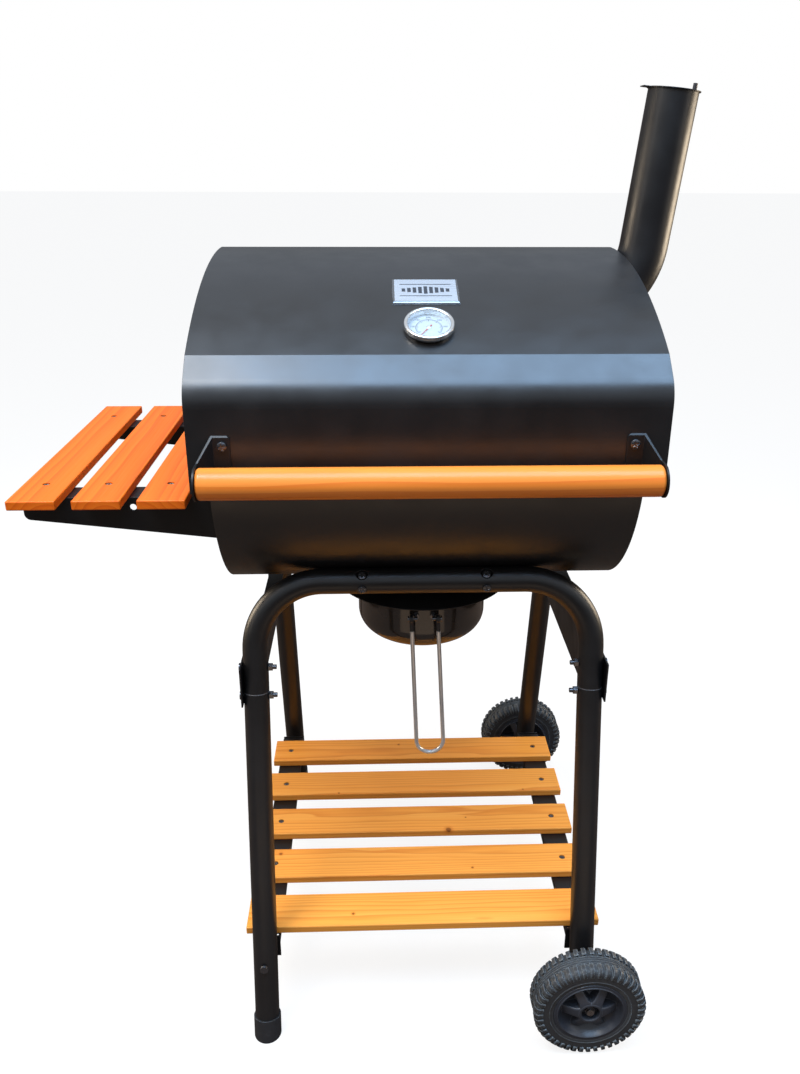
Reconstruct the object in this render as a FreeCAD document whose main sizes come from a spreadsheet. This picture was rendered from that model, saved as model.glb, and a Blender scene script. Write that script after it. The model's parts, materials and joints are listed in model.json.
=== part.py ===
"""Charcoal barrel grill and smoker with a side chimney, as a parametric FreeCAD assembly.

Millimetres, +Z up, X along the barrel (+X towards the chimney), -Y is the front, floor at Z = 0.
Every expression below names cells of the sheet; "E" turns the plain names into sheet references.
"""
import FreeCAD, Part
import math
import os
import re
import Sketcher

V = FreeCAD.Vector
doc = FreeCAD.newDocument("barrel_grill")
sheet = doc.addObject("Spreadsheet::Sheet", "Sheet")

DIMENSIONS = {
    # frame tubes
    "tube_od": 32, "tube_wall": 1.5, "leg_x": 212, "lean": 12.35,
    "seam_z": 472, "seam_y": 171, "arch_z": 610, "arch_bend": 86, "dimple_r": 8,
    "dimple_floor_r": 6, "dimple_depth": 5,
    "cap_height": 28, "cap_wall": 2, "spigot": 45, "wheel_leg_end": 50,
    # braces and frame bolts
    "brace_bottom": 458, "brace_end_top": 512, "brace_top": 556, "brace_half": 187, "brace_flange_half": 126,
    "brace_gauge": 2, "brace_flange": 18, "brace_inset": 20, "brace_step_y": 144,
    "bolt_r": 3, "bolt_head_r": 5.5, "bolt_head": 3,
    "nut_r": 5.5, "nut_thick": 5, "bolt_rise": 31, "bolt_drop": 5, "bolt_tail": 5, "play": 0.15,
    # lower shelf
    "slat_thick": 11, "low_slat_top": 136, "low_slat_half": 239.5, "low_slat_width": 59.5,
    "low_slat_pitch": 92.4, "low_slat_front": -226,
    "rail_x": 194, "rail_width": 36, "rail_web": 12, "rail_height": 34, "rail_gauge": 2,
    "rail_flange_half": 225, "tab_y": 231, "rail_bolt_z": 108,
    "slat_edge": 1.6, "screw_hole_r": 4.4, "screw_head_r": 4.1, "screw_head": 2, "screw_r": 2,
    "screw_sink": 1.2,
    "pan_head_r": 5.4, "pan_head": 2.6,
    # wheels
    "wheel_r": 73.5, "wheel_width": 43, "wheel_y": 301, "axle_r": 5, "axle_half": 321, "bore_gap": 0.05,
    "rim_r": 48, "rim_lip": 42.5, "hub_r": 16, "hub_recess_r": 12, "hub_recess": 10, "web_half": 3,
    "spoke_half": 6, "spoke_height": 13, "hub_sink": 0.3, "tyre_shoulder": 9, "axle_nut_r": 7,
    "axle_nut": 5, "spacer_r": 9,
    # firebox
    "gauge": 1.2, "box_r": 210, "box_z": 786.9, "box_half": 244, "rim_z": 797, "rim_flange": 12,
    "ledge_z": 776, "ledge_inner": 190, "ledge_outer": 208, "ledge_gauge": 2, "stud_x": 77,
    # grates
    "rod_r": 2, "coal_rod_r": 3, "grate_half_depth": 200, "grate_gap": 4, "coal_z": 655,
    "coal_half_depth": 160.5,
    # ash collar and bowl
    "collar_top_r": 84, "collar_r": 121, "collar_top_z": 573, "collar_rim_z": 557, "vent_r": 70,
    "bowl_r": 89, "bowl_rim_r": 94, "bowl_top_z": 560, "bowl_bottom_z": 476, "bowl_corner": 30,
    "bowl_wall": 1, "bowl_x": 4, "bail_x": 17.5, "bail_z": 533, "bail_wire_r": 2.8, "bail_drop": 192,
    "eye_r": 5.5,
    "bail_stand": 8, "bail_foot_x": 18.7, "bail_sway": 9, "stud_r": 1.9, "stud_head_r": 4.2, "stud_head": 1.8,
    "knuckle_x": 5.7, "knuckle_wide": 4.4, "stud_knuckle_r": 3, "eye_room": 0.5,
    # lid
    "lid_half": 261, "lid_front": 226.5, "lid_back": 226.5, "lid_edge_z": 757, "lid_back_z": 802,
    "strip_r": 41, "strip_start_z": 851.3, "strip_end_y": 214, "strip_end_z": 880.8,
    "crease_y": 192, "crease_z": 901.7, "top_r": 562, "top_y": 104, "top_z": 986, "lid_side_step": 185,
    # hinges
    "hinge_x": 170, "hinge_y": 240, "hinge_z": 800, "knuckle_r": 5, "pin_r": 2.5, "knuckle_half": 12,
    "leaf_half": 22, "leaf_gauge": 2, "leaf_foot_z": 750, "leaf_step_z": 790, "leaf_top_z": 838,
    "leaf_screw_z": 824,
    # handle
    "grip_r": 17.1, "grip_half": 245, "grip_y": 266, "grip_z": 782, "grip_round": 4,
    "wing_gauge": 2, "fold_x": 233, "bracket_top": 823, "bracket_low": 764, "bracket_width": 19,
    "bracket_screw_z": 811.5, "bracket_screw_x": 222.5,
    # thermometer, seated on the lid's top sheet
    "gauge_x": 1.5, "gauge_y": 156, "gauge_tilt": 27.559, "case_r": 28, "case_depth": 8.5,
    "bezel_width": 4.5, "dial_sink": 7, "stem_r": 3, "stem_len": 45, "pointer_r": 1, "pointer_len": 17,
    "pointer_thick": 0.5, "dial_thick": 0.6,
    # badge plate
    "badge_x": 1, "badge_half": 38.5, "badge_high_y": 58, "badge_low_y": 112, "badge_thick": 1,
    # chimney
    "pipe_r": 31.5, "pipe_wall": 1.2, "pipe_lean": 5.9, "pipe_y": 80, "pipe_x": 297.8, "pipe_z": 991.6,
    "pipe_len": 185, "elbow_r": 100, "elbow_turn": 58, "flange_r": 52, "flange_z": 917, "flange_gauge": 1.5,
    "cap_r": 33.5, "cap_thick": 1.2, "cap_gap": 0.3,
    "cap_pin_r": 2.8, "cap_pin_off": 26, "cap_pin_up": 10, "cap_pin_down": 16,
    # side shelf
    "side_slat_left": 469, "side_slat_width": 54, "side_slat_pitch": 72, "side_slat_half": 210,
    "side_slat_top": 744, "side_screw_y": 151, "side_web_y": 169, "side_flange": 37, "side_tip_x": 466,
    "side_tip_depth": 27, "side_root_depth": 52, "side_gauge": 2, "side_foot": 24,
    # air damper on the firebox's right end
    "damper_z": 690, "damper_r": 42, "damper_hole_r": 10, "damper_ring": 25, "damper_gap": 0.3,
    "rivet_r": 2.5,
    # distance from the middle of the legs to the middle of the whole outline
    "origin_shift": 59.355,
}
for row, (alias, size) in enumerate(DIMENSIONS.items(), start=1):
    sheet.set(f"A{row}", alias)
    sheet.set(f"B{row}", str(size))
    sheet.setAlias(f"B{row}", alias)
doc.recompute()

ALIAS = re.compile(r"\b(" + "|".join(sorted(DIMENSIONS, key=len, reverse=True)) + r")\b")
ALONG_X = FreeCAD.Rotation(V(0, 1, 0), 90)
ALONG_Y = FreeCAD.Rotation(V(1, 0, 0), -90)
SIDE_PLANE = FreeCAD.Rotation(V(1, 1, 1), 120)
nodes = []
start_x = {}


def E(expression):
    """The expression with every dimension's name turned into a reference to its cell."""
    return ALIAS.sub(r"Sheet.\1", str(expression))


def number(expression):
    return float(sheet.evalExpression(E(expression)))


def bind(thing, prop, expression):
    thing.setExpression(prop, E(expression))


def place(thing, at, rotation=None, tilt=None):
    """Binds the base point; rotation is a fixed turn, tilt is a turn about X bound to an expression."""
    if rotation is not None:
        thing.Placement = FreeCAD.Placement(V(), rotation)
    if tilt is not None:
        thing.Placement = FreeCAD.Placement(V(), FreeCAD.Rotation(V(1, 0, 0), 10))
        bind(thing, "Placement.Rotation.Angle", f"({tilt}) * 1 deg")
    for axis, expression in zip("xyz", at):
        bind(thing, f"Placement.Base.{axis}", expression)
    start_x[thing.Name] = at[0]


def solid(kind, name, at=("0", "0", "0"), rotation=None, tilt=None, **sizes):
    thing = doc.addObject("Part::" + kind, name)
    for prop, expression in sizes.items():
        bind(thing, prop, expression)
    place(thing, at, rotation, tilt)
    return thing


def box(name, at, length, width, height):
    return solid("Box", name, at, Length=length, Width=width, Height=height)


def rod(name, at, radius, length, rotation=None, tilt=None):
    return solid("Cylinder", name, at, rotation, tilt, Radius=radius, Height=length)


def cut(name, base, *tools):
    tool = tools[0] if len(tools) == 1 else fuse(name + "_tools", *tools)
    thing = doc.addObject("Part::Cut", name)
    thing.Base = base
    thing.Tool = tool
    return thing


def fuse(name, *shapes):
    thing = doc.addObject("Part::MultiFuse", name)
    thing.Shapes = list(shapes)
    return thing


def common(name, *shapes):
    thing = doc.addObject("Part::MultiCommon", name)
    thing.Shapes = list(shapes)
    return thing


def group(name, *shapes):
    """Separate solids that share one node, such as a set of screws."""
    thing = doc.addObject("Part::Compound", name)
    thing.Links = list(shapes)
    return thing


def node(thing, label):
    """Marks a finished sub-part and moves it so that the whole outline is centred on the origin."""
    thing.Label = label
    bind(thing, "Placement.Base.x", f"{start_x.get(thing.Name, '0')} + origin_shift")
    nodes.append(thing)
    return thing


def outline(sketch, start, segments):
    """Draws and dimensions a chain of lines and arcs.

    Each segment is (x, y) for a line or (x, y, radius, turn) for an arc, turn +1 counter-clockwise and
    -1 clockwise. The chain closes on itself when its last point is the first one.
    """
    spots = [start] + [segment[:2] for segment in segments]
    xy = [V(number(x), number(y), 0) for x, y in spots]
    closed = spots[-1] == spots[0]
    ends = []
    for index, segment in enumerate(segments):
        tail, head = xy[index], xy[index + 1]
        if len(segment) == 2:
            curve = Part.LineSegment(tail, head)
        else:
            radius, turn = number(segment[2]), segment[3]
            chord = head - tail
            rise = math.sqrt(max(radius ** 2 - (chord.Length / 2) ** 2, 0))
            inward = V(-chord.y, chord.x, 0).normalize() * turn
            centre = (tail + head) * 0.5 + inward * rise
            curve = Part.Arc(tail, centre - inward * radius, head)
        geo = sketch.addGeometry(curve, False)
        first = 1 if (sketch.getPoint(geo, 1) - tail).Length < 1e-6 else 2
        ends.append((geo, first, 3 - first))
        if index:
            previous = ends[index - 1]
            sketch.addConstraint(Sketcher.Constraint("Coincident", previous[0], previous[2], geo, first))
    if closed:
        sketch.addConstraint(Sketcher.Constraint("Coincident", ends[-1][0], ends[-1][2], ends[0][0],
                                                 ends[0][1]))
    corners = [(geo, first) for geo, first, _ in ends]
    if not closed:
        corners.append((ends[-1][0], ends[-1][2]))
    for (geo, end), (x, y) in zip(corners, spots):
        for kind, axis, expression in (("DistanceX", -2, x), ("DistanceY", -1, y)):
            if abs(number(expression)) < 1e-9:
                sketch.addConstraint(Sketcher.Constraint("PointOnObject", geo, end, axis))
            else:
                datum = Sketcher.Constraint(kind, -1, 1, geo, end, number(expression))
                index = sketch.addConstraint(datum)
                bind(sketch, f"Constraints[{index}]", expression)
    for (geo, _, _), segment in zip(ends, segments):
        if len(segment) == 4:
            index = sketch.addConstraint(Sketcher.Constraint("Radius", geo, number(segment[2])))
            bind(sketch, f"Constraints[{index}]", segment[2])


def circle(sketch, x, y, radius):
    geo = sketch.addGeometry(Part.Circle(V(number(x), number(y), 0), V(0, 0, 1), number(radius)), False)
    index = sketch.addConstraint(Sketcher.Constraint("Radius", geo, number(radius)))
    bind(sketch, f"Constraints[{index}]", radius)
    for kind, axis, expression in (("DistanceX", -2, x), ("DistanceY", -1, y)):
        if abs(number(expression)) < 1e-9:
            sketch.addConstraint(Sketcher.Constraint("PointOnObject", geo, 3, axis))
        else:
            index = sketch.addConstraint(Sketcher.Constraint(kind, -1, 1, geo, 3, number(expression)))
            bind(sketch, f"Constraints[{index}]", expression)


def free_sketch(name, start, segments, rotation=SIDE_PLANE):
    sketch = doc.addObject("Sketcher::SketchObject", name)
    sketch.Placement = FreeCAD.Placement(V(), rotation)
    outline(sketch, start, segments)
    return sketch


def extrude(name, profile, direction, start, length):
    thing = doc.addObject("Part::Extrusion", name)
    thing.Base = profile
    thing.DirMode = "Custom"
    thing.Dir = direction
    thing.Solid = True
    bind(thing, "LengthFwd", f"({start}) + ({length})")
    bind(thing, "LengthRev", f"-({start})")
    return thing


def body_of(name, at=("0", "0", "0"), rotation=None, tilt=None):
    body = doc.addObject("PartDesign::Body", name)
    place(body, at, rotation, tilt)
    return body


def body_sketch(body, role, name):
    sketch = body.newObject("Sketcher::SketchObject", name)
    plane = [feature for feature in body.Origin.OriginFeatures if feature.Role == role][0]
    sketch.AttachmentSupport = [(plane, "")]
    sketch.MapMode = "FlatFace"
    return sketch


def pad(body, sketch, name, length, midplane=False):
    feature = body.newObject("PartDesign::Pad", name)
    feature.Profile = sketch
    bind(feature, "Length", length)
    feature.Midplane = midplane
    return feature


def revolve(body, sketch, name, axis="V_Axis"):
    feature = body.newObject("PartDesign::Revolution", name)
    feature.Profile = sketch
    feature.ReferenceAxis = (sketch, [axis])
    feature.Angle = 360
    return feature


def pipe(body, section, path, name):
    feature = body.newObject("PartDesign::AdditivePipe", name)
    feature.Profile = section
    feature.Spine = path
    return feature


def screw(name, at, shank, length, rotation=None, head="screw_head_r", thick="screw_head"):
    """A round-headed screw whose shank points along local +Z from the underside of its head."""
    stem = rod(name + "_shank", ("0", "0", "0"), shank, length)
    cap = rod(name + "_head", ("0", "0", f"-({thick})"), head, thick)
    thing = fuse(name, stem, cap)
    place(thing, at, rotation)
    return thing


# ------------------------------------------------------------------------------------------- frame
PAN_HEAD = ("pan_head_r", "pan_head")
FRONT, BACK, LEFT, RIGHT = -1, 1, -1, 1
ENDS = ((FRONT, "front"), (BACK, "rear"))
SIDES = ((LEFT, "left"), (RIGHT, "right"))
SLOPE = "tan(lean * 1 deg)"
ARCH_Y = f"(seam_y - {SLOPE} * (arch_z - seam_z))"
LEG_FOOT_Y = f"(seam_y + {SLOPE} * seam_z)"
RAIL_BOLT_Y = f"(seam_y + {SLOPE} * (seam_z - rail_bolt_z))"
BOLT_RISES = (("upper", "bolt_rise"), ("lower", "-bolt_drop"))
DIMPLE_ANGLE, SCREW_ANGLE = 55, -14


def facing(front, elevation):
    """The turn that points local +Z away from the grill's middle, at that angle above the floor."""
    return FreeCAD.Rotation(V(1, 0, 0), front * (elevation - 90))


def seam_holes(label, side, front):
    """Bores along X for the two bolts that close a seam; they cut the tube, its spigot and the brace."""
    return [rod(f"{label}_{level}_bore",
                ("-400", f"{front} * (seam_y - {SLOPE} * ({rise}))", f"seam_z + ({rise})"),
                "bolt_r + play", "800", ALONG_X) for level, rise in BOLT_RISES]


def arch_tube(label, front):
    """One bent tube: a level top run, two bends and two stubs that end at the leg seams."""
    rise = "(arch_z - seam_z) / cos(lean * 1 deg)"
    body = body_of(label + "_body", ("0", f"{front} * seam_y", "seam_z"), tilt=f"{front} * lean")
    path = body_sketch(body, "XZ_Plane", label + "_path")
    outline(path, ("-leg_x", "0"), [
        ("-leg_x", f"{rise} - arch_bend"),
        ("-leg_x + arch_bend", rise, "arch_bend", -1),
        ("leg_x - arch_bend", rise),
        ("leg_x", f"{rise} - arch_bend", "arch_bend", -1),
        ("leg_x", "0"),
    ])
    section = body_sketch(body, "XY_Plane", label + "_section")
    circle(section, "-leg_x", "0", "tube_od / 2")
    circle(section, "-leg_x", "0", "tube_od / 2 - tube_wall")
    pipe(body, section, path, label + "_sweep")
    mouths, funnels, holes = [], [], seam_holes(label, RIGHT, front)
    for side, side_name in SIDES:
        at = (f"{side} * stud_x", f"{front} * {ARCH_Y}", "arch_z")
        turn = facing(front, DIMPLE_ANGLE)
        for use, shell, found in (("mouth", "0", mouths), ("funnel", "tube_wall", funnels)):
            dimple = solid("Cone", f"{label}_{use}_{side_name}", rotation=turn,
                           Radius1=f"dimple_floor_r + {shell}", Radius2=f"dimple_r + {shell}",
                           Height="dimple_depth + 1")
            lift = turn.multVec(V(0, 0, 1))
            depth = "(tube_od / 2 - dimple_depth)"
            for axis, base, step in zip("xyz", at, (lift.x, lift.y, lift.z)):
                bind(dimple, f"Placement.Base.{axis}", f"{base} + {step:.6f} * {depth}")
            found.append(dimple)
        holes.append(rod(f"{label}_screw_bore_{side_name}", at, "screw_r + play", "tube_od",
                         facing(front, SCREW_ANGLE)))
        holes.append(rod(f"{label}_bolt_bore_{side_name}", at, "screw_r + play", "tube_od", turn))
    skin = rod(label + "_skin", ("-stud_x - 30", f"{front} * {ARCH_Y}", "arch_z"), "tube_od / 2",
               "2 * stud_x + 60", ALONG_X)
    dimples = common(label + "_dimples", fuse(label + "_funnel_pair", *funnels), skin)
    return cut(label, fuse(label + "_pressed", body, dimples), *mouths, *holes)


def lower_leg(label, side, front, foot):
    """A straight tube from the floor (or from the axle) to the seam, with a narrower spigot above it."""
    lift = "0" if foot else "wheel_leg_end"
    at = (f"{side} * leg_x", f"{front} * {LEG_FOOT_Y}", "0")
    tilt = f"{front} * lean"
    full = "seam_z / cos(lean * 1 deg)"
    outer = rod(label + "_outer", at, "tube_od / 2", full, tilt=tilt)
    spigot = rod(label + "_spigot", at, "tube_od / 2 - tube_wall - play", f"{full} + spigot", tilt=tilt)
    inner = rod(label + "_inner", at, "tube_od / 2 - 2 * tube_wall", f"{full} + spigot + 10", tilt=tilt)
    floor = box(label + "_floor", ("-500", "-500", "-50"), "1000", "1000", f"50 + ({lift}) + tube_wall")
    rail_bore = rod(label + "_rail_bore", (f"{side} * leg_x", "-400", "rail_bolt_z"), "bolt_r + play",
                    "800", ALONG_Y)
    tools = [inner, floor, rail_bore] + seam_holes(label, side, front)
    if not foot:
        tools.append(rod(label + "_axle_hole", (f"{side} * leg_x", "-400", "wheel_r"), "axle_r + play",
                         "800", ALONG_Y))
    return cut(label, fuse(label + "_tube", outer, spigot), *tools)


def foot_cap(label, side, front):
    """A moulded cup, flat on the floor, that the tube's end stands in."""
    at = (f"{side} * leg_x", f"{front} * {LEG_FOOT_Y}", "0")
    tilt = f"{front} * lean"
    shell = rod(label + "_shell", at, "tube_od / 2 + cap_wall", "cap_height", tilt=tilt)
    skirt = rod(label + "_skirt", at, "tube_od / 2 + cap_wall", "cap_height / 2",
                tilt=f"{front} * (lean - 180)")
    room = rod(label + "_room", at, "tube_od / 2 + play", "cap_height + 5", tilt=tilt)
    base = box(label + "_slab", ("-500", "-500", "-50"), "1000", "1000", "50 + tube_wall")
    hollow = cut(label + "_hollow", room, base)
    below = box(label + "_below", ("-500", "-500", "-50"), "1000", "1000", "50")
    return cut(label, fuse(label + "_solid", shell, skirt), hollow, below)


def side_brace(label, side):
    """A folded plate that ties the two frames: its ends step out to the seams, its middle stands inside."""
    outer = "(leg_x + tube_od / 2)"
    inset = f"({outer} - brace_inset)"
    plan = [(outer, "-brace_half"), (outer, "-brace_step_y"), (inset, "-brace_flange_half"),
            (inset, "brace_flange_half"),
            (outer, "brace_step_y"), (outer, "brace_half")]
    outline_points = plan + [(f"{x} + brace_gauge", y) for x, y in reversed(plan)]
    corners = [(f"{side} * ({x})", y) for x, y in outline_points]
    folds = free_sketch(label + "_folds", corners[0], corners[1:] + corners[:1], FreeCAD.Rotation())
    band = extrude(label + "_band", folds, V(0, 0, 1), "brace_bottom", "brace_end_top - brace_bottom")
    wall_x = inset if side == RIGHT else f"-{inset} - brace_gauge"
    flange_x = f"{inset} - brace_flange" if side == RIGHT else f"-{inset}"
    wall = box(label + "_wall", (wall_x, "-brace_flange_half", "brace_end_top"), "brace_gauge",
               "2 * brace_flange_half", "brace_top - brace_end_top")
    flange = box(label + "_flange", (flange_x, "-brace_flange_half", "brace_top - brace_gauge"),
                 "brace_flange",
                 "2 * brace_flange_half", "brace_gauge")
    bores = [bore for front, end_name in ENDS for bore in seam_holes(f"{label}_{end_name}", side, front)]
    return cut(label, fuse(label + "_folded", band, wall, flange), *bores)


def hexagon(name, at, radius, height, turn):
    nut = doc.addObject("Part::Prism", name)
    nut.Polygon = 6
    bind(nut, "Circumradius", radius)
    bind(nut, "Height", height)
    place(nut, at, turn)
    return nut


def through_bolt(name, head_at, turn, span, nut_at):
    """A bolt whose shank starts under its round head and ends past its nut."""
    stem = screw(name + "_stem", head_at, "bolt_r", span, turn, head="bolt_head_r", thick="bolt_head")
    return fuse(name, stem, hexagon(name + "_nut", nut_at, "nut_r", "nut_thick", turn))


def frame_bolts():
    """Seam bolts, rail bolts, and the nuts and spacers that keep the wheels on their axle."""
    fittings = []
    for side, side_name in SIDES:
        inward = FreeCAD.Rotation(V(0, 1, 0), -90 * side)
        for front, end_name in ENDS:
            name = f"bolt_{side_name}_{end_name}"
            for level, rise in BOLT_RISES:
                y, z = f"{front} * (seam_y - {SLOPE} * ({rise}))", f"seam_z + ({rise})"
                fittings.append(through_bolt(
                    f"{name}_{level}", (f"{side} * (leg_x + tube_od / 2 + brace_gauge)", y, z), inward,
                    "tube_od + brace_gauge + nut_thick + bolt_tail",
                    (f"{side} * (leg_x - tube_od / 2)", y, z)))
            lengthwise = facing(-front, 0)
            fittings.append(through_bolt(
                f"{name}_rail",
                (f"{side} * leg_x", f"{front} * ({RAIL_BOLT_Y} + tube_od / 2 + 2)", "rail_bolt_z"),
                lengthwise, f"{RAIL_BOLT_Y} + tube_od / 2 - tab_y + nut_thick + bolt_tail + 4",
                (f"{side} * leg_x", f"{front} * (tab_y - rail_gauge)", "rail_bolt_z")))
    for front, end_name in ENDS:
        bore = rod(f"axle_bore_{end_name}", ("leg_x", "-400", "wheel_r"), "axle_r", "800", ALONG_Y)
        outward = facing(front, 0)
        nut = hexagon(f"axle_hexagon_{end_name}",
                      ("leg_x", f"{front} * (wheel_y + wheel_width / 2 - hub_sink - hub_recess + 0.4)",
                       "wheel_r"),
                      "axle_nut_r", "axle_nut", outward)
        spacer = rod(f"axle_spacer_{end_name}",
                     ("leg_x", f"{front} * (wheel_y - wheel_width / 2 - 2.4)", "wheel_r"),
                     "spacer_r", "6", outward)
        fittings += [cut(f"axle_nut_{end_name}", nut, bore), cut(f"spacer_{end_name}", spacer, bore)]
    return group("frame_bolt_set", *fittings)


for front, end_name in ENDS:
    node(arch_tube(f"{end_name}_arch", front), f"{end_name}_arch_tube")
    for side, side_name in SIDES:
        leg = lower_leg(f"{end_name}_{side_name}_tube", side, front, side == LEFT)
        node(leg, f"{end_name}_{side_name}_leg")
node(group("foot_cap_pair", *[foot_cap(f"{end_name}_cap", LEFT, front) for front, end_name in ENDS]),
     "foot_caps")
for side, side_name in SIDES:
    node(side_brace(f"brace_{side_name}", side), f"side_brace_{side_name}")
node(frame_bolts(), "frame_bolts")


# ------------------------------------------------------------------------------- shelves and slats
def shelf_rail(label, side):
    """An angle inside the legs: its flange carries the slats and its end tabs are bolted to the legs."""
    top = "low_slat_top - slat_thick"
    web_x = "rail_x" if side == RIGHT else "-rail_x - rail_gauge"
    flange_x = "rail_x" if side == RIGHT else "-rail_x - rail_width"
    web = box(label + "_web", (web_x, "-tab_y", f"{top} - rail_web"),
              "rail_gauge", "2 * tab_y", "rail_web")
    flange = box(label + "_flange", (flange_x, "-rail_flange_half", f"{top} - rail_gauge"),
                 "rail_width", "2 * rail_flange_half", "rail_gauge")
    tabs = [box(f"{label}_tab_{end_name}", (flange_x, "-tab_y" if front == FRONT else "tab_y - rail_gauge",
                                            f"{top} - rail_height"), "rail_width", "rail_gauge",
                                            "rail_height")
            for front, end_name in ENDS]
    bores = [rod(f"{label}_bore", (f"{side} * leg_x", "-400", "rail_bolt_z"), "bolt_r + play", "800",
                 ALONG_Y)]
    for index in range(LOW_SLATS):
        bores.append(rod(f"{label}_screw_bore_{index}", (f"{side} * leg_x", low_slat_middle(index), "0"),
                         "screw_r + play", "200"))
    legs = [rod(f"{label}_{end_name}_leg_room", (f"{side} * leg_x", f"{front} * {LEG_FOOT_Y}", "0"),
                "tube_od / 2 + play", "300", tilt=f"{front} * lean") for front, end_name in ENDS]
    return cut(label, fuse(label + "_angle", web, flange, *tabs), *bores, *legs)


def board(label, x_size, y_size, at, holes):
    """A planed board with rounded edges and a counterbored hole for each screw; at is its low corner."""
    body = body_of(label + "_plank", at)
    sketch = body_sketch(body, "XY_Plane", label + "_outline")
    outline(sketch, ("0", "0"), [(x_size, "0"), (x_size, y_size), ("0", y_size), ("0", "0")])
    plank = pad(body, sketch, label + "_pad", "slat_thick")
    doc.recompute()
    rounding = body.newObject("PartDesign::Fillet", label + "_rounding")
    rounding.Base = (plank, [f"Edge{index + 1}" for index in range(len(plank.Shape.Edges))])
    bind(rounding, "Radius", "slat_edge")
    body.Tip = rounding
    low_x, low_y, low_z = at
    bores = []
    for index, (x, y) in enumerate(holes):
        middle = (f"{low_x} + {x}", f"{low_y} + {y}")
        bores.append(rod(f"{label}_bore_{index}", (*middle, f"{low_z} - 1"), "screw_r + play",
                         "slat_thick + 2"))
        bores.append(rod(f"{label}_sink_{index}",
                         (*middle, f"{low_z} + slat_thick - screw_sink - screw_head"),
                         "screw_hole_r", "screw_sink + screw_head + 1"))
    return cut(label, body, *bores)


def low_slat_middle(index):
    return f"low_slat_front + {index} * low_slat_pitch + low_slat_width / 2"


def side_slat_middle(index):
    return f"-side_slat_left + {index} * side_slat_pitch + side_slat_width / 2"


def side_bracket(label, front):
    """A tapered angle bolted to the firebox's left end: web, top flange and foot."""
    top = "side_slat_top - slat_thick"
    sketch = free_sketch(label + "_web", ("-box_half", top), [
        ("-side_tip_x", top),
        ("-side_tip_x", f"{top} - side_tip_depth + 8"),
        ("-side_tip_x + 8", f"{top} - side_tip_depth", "8", 1),
        ("-box_half", f"{top} - side_root_depth"),
        ("-box_half", top),
    ], FreeCAD.Rotation(V(1, 0, 0), 90))
    outer = f"{front} * side_web_y"
    web = extrude(label + "_plate", sketch, V(0, 1, 0), outer if front == FRONT else f"{outer} - side_gauge",
                  "side_gauge")
    flange = box(label + "_flange", ("-side_tip_x + 8", outer if front == FRONT else f"{outer} - side_flange",
                                     f"{top} - side_gauge"), "side_tip_x - 8 - box_half", "side_flange",
                                     "side_gauge")
    foot = box(label + "_foot",
               ("-box_half - side_gauge", outer if front == FRONT else f"{outer} - side_foot",
                                 f"{top} - side_root_depth + 6"), "side_gauge", "side_foot",
                                 "side_root_depth - 6")
    bores = [rod(label + "_hole", ("-box_half - 96", "-250", f"{top} - 12"), "4", "500", ALONG_Y),
             rod(label + "_bolt_bore", ("-300", f"{front} * (side_web_y - 14)", f"{top} - 30"),
                 "screw_r + play", "100", ALONG_X)]
    for index in range(SIDE_SLATS):
        bores.append(rod(f"{label}_screw_bore_{index}",
                         (side_slat_middle(index), f"{front} * side_screw_y", "600"),
                         "screw_r + play", "200"))
    return cut(label, fuse(label + "_angle", web, flange, foot), *bores)


LOW_SLATS, SIDE_SLATS = 5, 3
DOWNWARD = FreeCAD.Rotation(V(1, 0, 0), 180)
wood_screws = []
for side, side_name in SIDES:
    node(shelf_rail(f"rail_{side_name}", side), f"shelf_rail_{side_name}")
for index in range(LOW_SLATS):
    node(board(f"low_board_{index + 1}", "2 * low_slat_half", "low_slat_width",
               ("-low_slat_half", f"low_slat_front + {index} * low_slat_pitch", "low_slat_top - slat_thick"),
               [(f"low_slat_half + {side} * leg_x", "low_slat_width / 2") for side, _ in SIDES]),
         f"bottom_slat_{index + 1}")
    for side, side_name in SIDES:
        wood_screws.append(screw(f"low_screw_{index + 1}_{side_name}",
                                 (f"{side} * leg_x", low_slat_middle(index),
                                  "low_slat_top - screw_sink - screw_head"),
                                 "screw_r", "slat_thick", DOWNWARD))
for front, end_name in ENDS:
    node(side_bracket(f"side_bracket_{end_name}", front), f"side_shelf_bracket_{end_name}")
for index in range(SIDE_SLATS):
    node(board(f"side_board_{index + 1}", "side_slat_width", "2 * side_slat_half",
               (f"-side_slat_left + {index} * side_slat_pitch", "-side_slat_half",
                "side_slat_top - slat_thick"),
               [("side_slat_width / 2", f"side_slat_half + {front} * side_screw_y") for front, _ in ENDS]),
         f"side_slat_{index + 1}")
    for front, end_name in ENDS:
        wood_screws.append(screw(f"side_screw_{index + 1}_{end_name}",
                                 (side_slat_middle(index), f"{front} * side_screw_y",
                                  "side_slat_top - screw_sink - screw_head"), "screw_r", "slat_thick",
                                  DOWNWARD))
node(group("wood_screw_set", *wood_screws), "wood_screws")


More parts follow.
